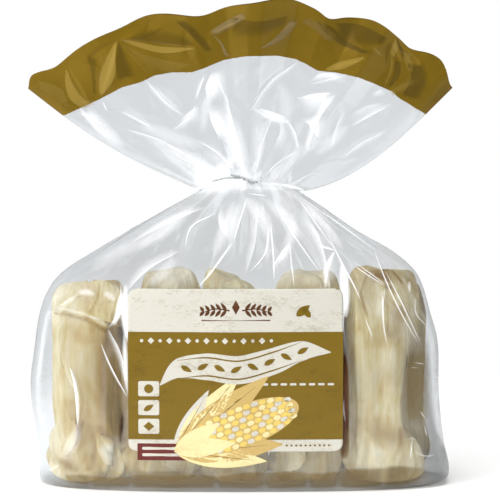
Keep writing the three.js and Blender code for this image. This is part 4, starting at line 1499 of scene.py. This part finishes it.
    def ear(self, at, low, lean, length, width, rise):
        """A loose end of husk that curls off the skin at one side, and its tone."""
        v, u = share_grid(*EAR_GRID, left=-1)
        half = width / 2 * (np.sin(np.pi * np.clip(v, 0.02, 0.98) ** 0.75)) ** 0.6
        lean = math.radians(lean)
        round_it = v * length * math.sin(lean) + u * half * math.cos(lean)
        height = low + v * length * math.cos(lean) - u * half * math.sin(lean)
        angle = math.radians(at) + round_it / (self.width / 2)
        share = self.share_at(height + TAMALE_BASE)
        curl = 0.35 + 0.65 * smoothstep(u * math.copysign(1, lean), -0.6, 1)
        lift = rise * curl * (0.5 + 0.5 * np.sin(np.pi * v)) + 0.3 * np.sin(7 * u + 5 * v + at)
        # Painted light: the ear is paler where it curls out.
        tone = self.tone(angle, share) - EAR_PALENESS * curl
        return self.patch(angle, share, lift), tone

    def sheets(self):
        """Its loose sheets of husk, each a grid of points and their tones."""
        cap = [self.folded_cap()] if self.cap else []
        return [self.outer_leaf(), *(self.ear(*ear) for ear in self.ears), *cap]


TAMALES = (
    Tamale(
        10, x=-96.5, y=-18.5, width=50, depth=36.5, top=132, slope=0.06, waist=4, cap=(118, 105),
        edge=236, tint=0.17, toast=-0.4, left=-0.3, flank=(0.6, 0.0, 0.3),
        dents=((345, 101, 60, 13, 6),), spots=((262, 40, 7, 0.3),),
        ears=((222, 14, 24, 32, 15, 5), (304, 12, -24, 24, 13, 3.5)),
        lobes=(
            (232, 27, 20, 21, 6), (256, 8, 20, 12, 3), (292, 22, 20, 17, 5), (212, 8, 24, 14, 5),
            (318, 14, 18, 16, 4),
        ),
        marks=(
            (0.9, 0.7, (-87, 133), (-92, 121), (-98, 110)), (0.6, 0.6, (-80, 131), (-81, 120)),
            (0.8, 1.3, (-117, 115), (-101, 111.5), (-84, 103.5)),
            (-1.2, 0.8, (-116, 118), (-101, 114.5), (-84, 107)),
            (0.7, 1.2, (-101, 44), (-104, 34), (-110, 22)),
            (0.6, 1.5, (-96, 42), (-92, 28), (-96, 14)), (0.9, 2.0, (-88, 40), (-82, 34), (-78, 30)),
            (-0.8, 4, (-84, 27), (-81, 20), (-81, 14)), (0.8, 3.5, (-112, 17), (-106, 13)),
            (0.35, 3, (-84, 98), (-88, 80), (-87, 50)),
        ),
    ),
    Tamale(
        20, x=-6, width=43, top=137, slope=-0.42, taper=0.12, edge=290, tint=0.2, toast=-0.35,
        left=0.1, flank=(0.2, 0.05, 0.75), ears=((240, 10, 14, 22, 16, 3),),
    ),
    Tamale(
        30, x=92.5, width=51, depth=37, top=141, slope=-0.1, taper=0.08, waist=14, edge=300,
        toast=0.25, left=0.15, flank=(0.4, 0.6, 0.95),
        spots=(
            (268, 137, 8, 0.8), (292, 112, 7, 0.8), (280, 99, 6, 0.5), (250, 118, 6, 0.4),
            (262, 34, 8, 0.5), (285, 33, 7, 0.6), (275, 70, 8, 0.3),
        ),
        lobes=((240, 14, 34, 18, 5), (266, 12, 26, 20, 4.5), (296, 12, 30, 18, 5), (335, 13, 36, 22, 5)),
        marks=(
            (1.3, 1.2, (85, 137), (92.5, 135.5), (98, 133)), (1.2, 1.1, (103, 139), (108, 135)),
            (1.0, 1.2, (95, 130), (103, 126.5)), (0.8, 0.9, (80, 138), (78, 126), (82, 114)),
            (-0.8, 1.4, (88, 132), (90, 124), (89, 114)), (-0.6, 1.5, (102, 130), (104, 120)),
            (0.6, 1.0, (96, 124), (94, 112), (97, 100)), (-0.5, 2.5, (80, 36), (84, 28), (92, 24)),
            (0.5, 1.2, (104, 40), (103, 30), (98, 20)),
        ),
    ),
    Tamale(
        40, x=-46, y=-13, width=47, depth=44, top=140, slope=0.1, taper=0.18, edge=250, tint=0.2,
        toast=-0.6, left=0.5, bulges=((190, 62, 60, 74, 12),), ears=((290, 9, -16, 20, 15, 3),),
        lobes=((190, 10, 40, 20, 7), (215, 12, 40, 18, 9), (240, 14, 26, 16, 5)),
    ),
    Tamale(
        50, x=43.5, y=-13, depth=44, top=139, taper=0.16, tint=0.2, toast=-0.6, left=-0.1,
        ears=((245, 9, 8, 22, 18, 3),),
    ),
    Tamale(
        60, x=99.5, y=20, width=46, depth=36, top=131, slope=-0.05, taper=0.06, crumpled=0.2,
        edge=200, toast=0.3, left=0.1, flank=(0.3, 0.05, 0.75), spots=((300, 118, 8, 0.5),),
    ),
)


def make_tamales(husk):
    for number, tamale in enumerate(TAMALES, start=1):
        points, faces, toast = tamale.core()
        for grid, sheet_toast in tamale.sheets():
            sheet_points, sheet_faces = thick_sheet(grid, HUSK_THICKNESS, first=len(points))
            points = np.concatenate([points, sheet_points])
            faces += [*sheet_faces]
            toast = np.concatenate([toast, sheet_toast.ravel(), sheet_toast.ravel()])
        piece = make_piece(f"tamale_{number}", inside_film(points), faces, [husk], "husk", "bag")
        set_attributes(piece, toast=toast)


# ---- Label ----
SHEET_GAP = 0.75  # how far the label's face lies in front of the film
SHEET_THICKNESS = 0.2
LAYER_STEP = 0.06  # how far each layer of print lies in front of the one under it
FACE_LAYER, FIELD_LAYER, PRINT_LAYER, TOP_LAYER = 0, 1, 2, 3
FACE_ROWS, FIELD_ROWS, LABEL_COLUMNS = 100, 60, 120
FIELD = (34.8, 103.9)  # the heights of the olive field's lower and upper edge
TAB_SIDES = (-65.5, -25.3)  # the x of the red-brown tab's sides
TAB = (21.2, 32.2)  # and the heights of its edges
TAB_GRID = (12, 40)

# ink: its colour, the shade it is scuffed to, and how much of that shows
INKS = {
    "cream": (colour(202, 199, 188), colour(158, 149, 126), 0.6),
    "olive": (colour(116, 93, 21), colour(96, 75, 18), 0.6),
    "red_brown": (colour(100, 41, 36), colour(84, 33, 30), 0.5),
    "brown": (colour(84, 52, 30), colour(120, 92, 66), 0.3),
    "tan": (colour(196, 168, 104), colour(170, 140, 80), 0.5),
    "husk": (colour(226, 212, 160), colour(206, 186, 124), 0.5),
    "corn": (colour(222, 194, 104), colour(200, 168, 84), 0.5),
}


def on_label(x, z, layer):
    """Points of one of the label's layers."""
    return point_grid(x, front_film(x, z) - (SHEET_GAP + layer * LAYER_STEP), z)


def label_outline(level):
    """Half the label's width at a height from its middle, with its rounded corners."""
    into_corner = np.maximum(np.abs(level) - (LABEL_SIZE[1] / 2 - LABEL_CORNER), 0)
    rounded = np.sqrt(np.maximum(LABEL_CORNER**2 - into_corner**2, 0))
    return LABEL_SIZE[0] / 2 - LABEL_CORNER + rounded


def label_band(low, high, layer, rows):
    """A band of the label between two heights above the floor, out to its rounded sides."""
    level = np.linspace(low, high, rows)[:, None] - LABEL_CENTRE[1]
    x = LABEL_CENTRE[0] + label_outline(level) * np.linspace(-1, 1, LABEL_COLUMNS)
    return on_label(x, level + LABEL_CENTRE[1] + 0 * x, layer)


def blob(outline, layer):
    """A patch whose whole outline can be seen from its middle. The outline is points x, z."""
    middle = outline.mean(0)
    grid = middle + (outline - middle) * np.linspace(0.01, 1, 5)[:, None, None]
    return on_label(grid[..., 0], grid[..., 1], layer)


def turned(points, angle, place):
    """Points turned by degrees and moved to a place."""
    c, s = math.cos(math.radians(angle)), math.sin(math.radians(angle))
    return np.array(points, float) @ np.array(((c, s), (-s, c))) + np.array(place)


def rounded_box(width, height, corner):
    """The outline of a rounded rectangle round the origin."""
    points = []
    for quarter, (sign_x, sign_z) in enumerate(((1, 1), (-1, 1), (-1, -1), (1, -1))):
        for step in range(6):
            angle = (quarter + step / 5) * np.pi / 2
            points.append((
                sign_x * (width / 2 - corner) + corner * math.cos(angle),
                sign_z * (height / 2 - corner) + corner * math.sin(angle),
            ))
    return points


def leaf(length, width, steps=12):
    """The outline of a pointed leaf that starts at the origin and lies along x."""
    s = np.linspace(0, 1, steps)
    edge = width / 2 * np.sin(np.pi * s**0.8) ** 0.9
    upper = np.stack([length * s, edge], axis=1)
    lower = np.stack([length * s[-2:0:-1], -edge[-2:0:-1]], axis=1)
    return np.concatenate([upper, lower])


def lozenge(width, height):
    corners = np.array(((width / 2, 0), (0, height / 2), (-width / 2, 0), (0, -height / 2)))
    share = np.linspace(0, 1, 4, endpoint=False)[:, None]
    return np.concatenate([lerp(corners[i - 4], corners[i - 3], share) for i in range(4)])


def disc(radius, steps=24, squash=1.0):
    angle = np.linspace(0, 2 * np.pi, steps, endpoint=False)
    return np.stack([radius * np.cos(angle), squash * radius * np.sin(angle)], axis=1)


def stroke(points, widths, layer):
    """A brushed line through points, whose width swells and thins."""
    line, aside = smooth_line(points, 70)
    share = np.linspace(0, 1, len(line))
    width = np.interp(share, np.linspace(0, 1, len(widths)), widths)
    grid = line + np.linspace(0.5, -0.5, 5)[:, None, None] * (aside * width[:, None])
    return on_label(grid[..., 0], grid[..., 1], layer)


class Print:
    """Flat shapes of the label's design, gathered by ink."""

    def __init__(self):
        self.grids = {}

    def shape(self, ink, outline, place, angle=0, layer=PRINT_LAYER):
        """An outline filled with ink, turned by degrees and moved to a place."""
        filled = blob(turned(outline, angle, place), layer)
        self.grids.setdefault(ink, []).append((filled, True))

    def brush(self, ink, points, widths, layer=PRINT_LAYER):
        self.grids.setdefault(ink, []).append((stroke(points, widths, layer), False))

    def make(self, inks):
        for ink, grids in self.grids.items():
            make_piece(f"print_{ink}", *join_grids(grids), [inks[ink]], "label_print")


def draw_sprig(design, x, z):
    """A lozenge between two leafy twigs, over a thin rule."""
    design.shape("brown", lozenge(5, 9), (x, z))
    for side in (-1, 1):
        twig = [(x + side * 4, z - 2), (x + side * 13, z - 1), (x + side * 23, z - 4)]
        design.brush("brown", twig, (0.9, 0.7, 0.4))
        for step in range(5):
            root = (x + side * (6 + 3.6 * step), z - 1.8 - 0.05 * step**2)
            for tilt in (52, -48):
                angle = tilt if side > 0 else 180 - tilt
                design.shape("brown", leaf(6 - 0.5 * step, 2.1), root, angle)
    design.shape("brown", rounded_box(44, 0.7, 0.3), (x, z - 8.2))


def draw_badges(design, x):
    """Three cream badges, one under the other, each with a plain sign."""
    for z, outline, right, down, angle in (
        (67.7, disc(2.9), 0, 0, 0),
        (55.5, leaf(7.4, 3.4), -3.1, 2, 32),
        (43.4, lozenge(7, 6), 0, 0, 0),
    ):
        design.shape("cream", rounded_box(13.4, 9.8, 1.2), (x, z))
        design.shape("olive", outline, (x + right, z - down), angle, TOP_LAYER)


def draw_ribbon(design):
    """A waving ribbon across the middle of the label, with leaves and a line along each edge."""
    way = [(-51, 70), (-40, 80), (-22, 82), (0, 80), (20, 85), (40, 92), (58, 91)]
    design.brush("cream", way, (0.5, 13, 17, 18, 18, 16, 12, 0.5))
    for shift in (-5.8, 5.8):
        edge = [(x, z + shift) for x, z in way[1:-1]]
        design.brush("olive", edge, (0.1, 0.9, 0.9, 0.9, 0.1), TOP_LAYER)
    for step in range(8):
        x = -34 + 10.6 * step
        z = np.interp(x, *zip(*way))
        tilt = 28 if step % 2 else -28
        design.shape("olive", leaf(8, 3.4), (x - 3.5, z - 0.06 * tilt), tilt, TOP_LAYER)


COB_BASE, COB_TILT = (-42, 27), 21
COB_MIDDLE, COB_HALF_LENGTH = 47, 38
KERNEL_INKS = ("corn", "husk", "corn", "cream")


def on_cob(along, across=0):
    """The place a way along the ear of corn and across it."""
    return turned([(along, across)], COB_TILT, COB_BASE)[0]


def draw_cob(design):
    """An ear of corn with its husk drawn back."""
    for length, width, lean, ink in (
        (70, 19, -17, "tan"), (78, 19, 18, "tan"), (60, 15, -27, "husk"), (66, 15, 29, "husk"),
        (46, 11, 40, "cream"),
    ):
        angle = COB_TILT + lean
        design.shape(ink, leaf(length, width, 20), COB_BASE, angle)
        vein = [COB_BASE, turned([(length * 0.86, 0)], angle, COB_BASE)[0]]
        design.brush("brown", vein, (0.1, 0.35, 0.1), TOP_LAYER)
    cob = disc(COB_HALF_LENGTH, 48, 0.36)
    design.shape("tan", cob, on_cob(COB_MIDDLE), COB_TILT, TOP_LAYER)
    for column in range(13):
        for row in range(-3, 4):
            along = 16 + 5.2 * column + (row % 2) * 1.3
            reach = 1 - ((along - COB_MIDDLE) / COB_HALF_LENGTH) ** 2
            if reach < 0.12:
                continue
            place = on_cob(along, row * 3.7 * math.sqrt(reach))
            ink = KERNEL_INKS[(column * 3 + row * 5) % 4]
            design.shape(ink, disc(2.35, 12, 0.68), place, COB_TILT, TOP_LAYER + 1)
    for length, width, lean in ((40, 12, -12), (35, 11, 12)):
        design.shape("husk", leaf(length, width, 16), COB_BASE, COB_TILT + lean, TOP_LAYER + 2)


def draw_rules(design):
    """Plain rows of small shapes where the label has its smaller print."""
    for step in range(15):
        outline = lozenge(4.2, 4.2) if step % 2 else disc(1.1)
        design.shape("cream", outline, (-62.5 + 5.9 * step, 98.4))
    for step in range(9):
        design.shape("cream", rounded_box(4.2, 1.5, 0.7), (10 + 6 * step, 70.6))
    for step in range(10):
        design.shape("olive", disc(0.7, 12), (30 + 3 * step, 31))
    for step in range(2):
        bar = rounded_box(30 - 6 * step, 1.9, 0.9)
        design.shape("cream", bar, (-47.5 - 3 * step, 29 - 4.2 * step), layer=TOP_LAYER)
    for step in range(4):
        x = -30.4 + 1.6 * step
        design.brush("cream", [(x, 22.5), (x + 2.4, 31)], (0.3, 0.3), TOP_LAYER)
    design.shape("olive", leaf(11, 5), (36, 114), 38)
    design.shape("olive", leaf(9, 4), (45, 113), 128)


def make_label():
    """The label's sheet, its olive field and red-brown tab, and the design on them."""
    inks = {ink: print_material(f"{ink}_print", *values) for ink, values in INKS.items()}
    edges = [LABEL_CENTRE[1] + side * LABEL_SIZE[1] / 2 for side in (-1, 1)]
    sheet = thick_sheet(label_band(*edges, FACE_LAYER, FACE_ROWS), SHEET_THICKNESS)
    make_piece("label_sheet", *sheet, [inks["cream"]], "label_print", "label")
    field = label_band(*FIELD, FIELD_LAYER, FIELD_ROWS)
    v, u = share_grid(*TAB_GRID)
    tab = on_label(lerp(*TAB_SIDES, u), lerp(*TAB, v), PRINT_LAYER)
    for name, grid, ink in (("label_field", field, "olive"), ("label_tab", tab, "red_brown")):
        make_piece(name, *join_grids([(grid, False)]), [inks[ink]], "label_print")
    design = Print()
    draw_sprig(design, -2.5, 119.5)
    draw_badges(design, -58.1)
    draw_ribbon(design)
    draw_rules(design)
    draw_cob(design)
    design.make(inks)


# ---- Floor, light and camera ----
FLOOR_REACH = 0.9  # metres
FLOOR_WHITE = (0.97, 0.97, 0.97, 1)
FLOOR_FADE = (0.24, 0.5)  # metres from the middle, where the floor melts into the white backdrop


def make_stage():
    mesh = bpy.data.meshes.new("floor")
    reach = FLOOR_REACH
    corners = [(-reach, -reach, 0), (reach, -reach, 0), (reach, reach, 0), (-reach, reach, 0)]
    mesh.from_pydata(corners, [], [(0, 1, 2, 3)])
    floor = bpy.data.objects.new("floor", mesh)
    bpy.context.scene.collection.objects.link(floor)
    shader = Shader("pale_floor")
    matt = shader.add("BsdfDiffuse", {"Color": FLOOR_WHITE})
    clear = shader.add("BsdfTransparent")
    distance = shader.add("VectorMath", {0: shader.place()}, operation="LENGTH").outputs["Value"]
    fade = shader.add("MapRange", {
        "Value": distance, "From Min": FLOOR_FADE[0], "From Max": FLOOR_FADE[1],
    }, interpolation_type="SMOOTHSTEP").outputs[0]
    mesh.materials.append(shader.finish(shader.blend(fade, matt, clear)))


# Brightness that the film mirrors, by degrees round from the front (negative is to the left):
# tall soft windows with dark gaps between them.
STUDIO_WINDOWS = (
    (-180, 0.4), (-140, 0.4), (-120, 0.3), (-104, 1.0), (-88, 0.35), (-66, 0.8), (-48, 1.5),
    (-36, 1.3), (-28, 0.55), (-14, 0.35), (14, 0.35), (26, 0.4), (34, 1.8), (42, 1.6), (52, 0.5),
    (84, 0.3), (104, 1.1), (120, 0.3), (150, 0.4), (180, 0.4),
)
BRIGHTEST = 2.0
SOFT_LIGHT = 0.38  # how bright the studio is to matt surfaces
SOFT_LEAN = 0.24  # and how much brighter on the left and darker on the right


def make_world():
    """White for the camera and for soft light. The film mirrors the studio's tall windows."""
    studio = Shader("studio", "worlds")
    bpy.context.scene.world = studio.block
    direction = studio.add("TexCoord").outputs["Generated"]
    right, away, _ = studio.add("SeparateXYZ", {0: direction}).outputs
    nearer = studio.math("MULTIPLY", away, -1.0)
    place = studio.math("MULTIPLY_ADD", studio.math("ARCTAN2", right, nearer), 0.5 / math.pi, 0.5)
    stops = [
        ((degrees + 180) / 360, (level / BRIGHTEST,) * 3 + (1,)) for degrees, level in STUDIO_WINDOWS
    ]
    mirrored = studio.add("Background", {"Color": studio.ramp(place, stops), "Strength": BRIGHTEST})
    softness = studio.math("MULTIPLY_ADD", right, -SOFT_LEAN, SOFT_LIGHT)
    soft = studio.add("Background", {"Color": WHITE, "Strength": softness})
    white = studio.add("Background", {"Color": WHITE, "Strength": 1.0})
    ray = studio.add("LightPath")
    unseen = studio.blend(ray.outputs["Is Glossy Ray"], soft, mirrored)
    chosen = studio.blend(ray.outputs["Is Camera Ray"], unseen, white)
    studio.add("OutputWorld", {"Surface": chosen.outputs[0]})


# name, place and aim in metres, width, height, radiance, whether the film mirrors it
SOFTBOXES = (
    ("key", (-1.45, -0.95, 1.1), (0, 0, 0.14), 0.8, 0.9, 10.5, False),
    ("right_strip", (1.35, -0.55, 0.55), (0, 0, 0.16), 0.35, 1.1, 1.2, True),
    ("top", (0.1, -0.1, 1.6), (0, 0, 0.2), 1.4, 0.8, 5.5, False),
    ("left_strip", (-1.3, 0.2, 0.5), (0, 0, 0.16), 0.3, 1.1, 2.0, True),
    ("front", (-0.6, -1.5, 0.22), (0, 0, 0.08), 1.1, 0.4, 6.5, False),
)


def make_lights():
    for name, place, aim, width, height, radiance, mirrored in SOFTBOXES:
        light = bpy.data.lights.new(name, "AREA")
        light.shape = "RECTANGLE"
        light.size, light.size_y = width, height
        light.energy = radiance * math.pi * width * height
        lamp = bpy.data.objects.new(name, light)
        lamp.visible_glossy = mirrored
        lamp.location = place
        direction = np.array(aim) - np.array(place)
        lamp.rotation_euler = (
            math.acos(-direction[2] / np.linalg.norm(direction)),
            0,
            math.atan2(-direction[0], direction[1]),
        )
        bpy.context.scene.collection.objects.link(lamp)


CAMERA_TARGET = np.array((6.5, 0, 151.6))
CAMERA_ELEVATION = 7  # degrees
CAMERA_DISTANCE = 1600
LENS = 177.2
SENSOR_WIDTH = 36


def make_camera():
    camera = bpy.data.cameras.new("camera")
    camera.lens = LENS
    camera.sensor_width = SENSOR_WIDTH
    holder = bpy.data.objects.new("camera", camera)
    elevation = math.radians(CAMERA_ELEVATION)
    back = CAMERA_DISTANCE * np.array((0, -math.cos(elevation), math.sin(elevation)))
    holder.location = (CAMERA_TARGET + CENTRE_SHIFT + back) * MM
    holder.rotation_euler = (math.pi / 2 - elevation, 0, 0)
    bpy.context.scene.collection.objects.link(holder)
    bpy.context.scene.camera = holder


# ---- The scene ----
make_camera()
make_world()
make_lights()
make_stage()
make_film()
make_tamales(husk_material())
make_label()
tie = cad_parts["twist_tie"]
tie.data.materials.clear()
tie.data.materials.append(wire_material())
tie.data.polygons.foreach_set("use_smooth", [True] * len(tie.data.polygons))

bpy.context.scene.view_settings.view_transform = "Standard"
bpy.context.scene.cycles.transparent_max_bounces = 40
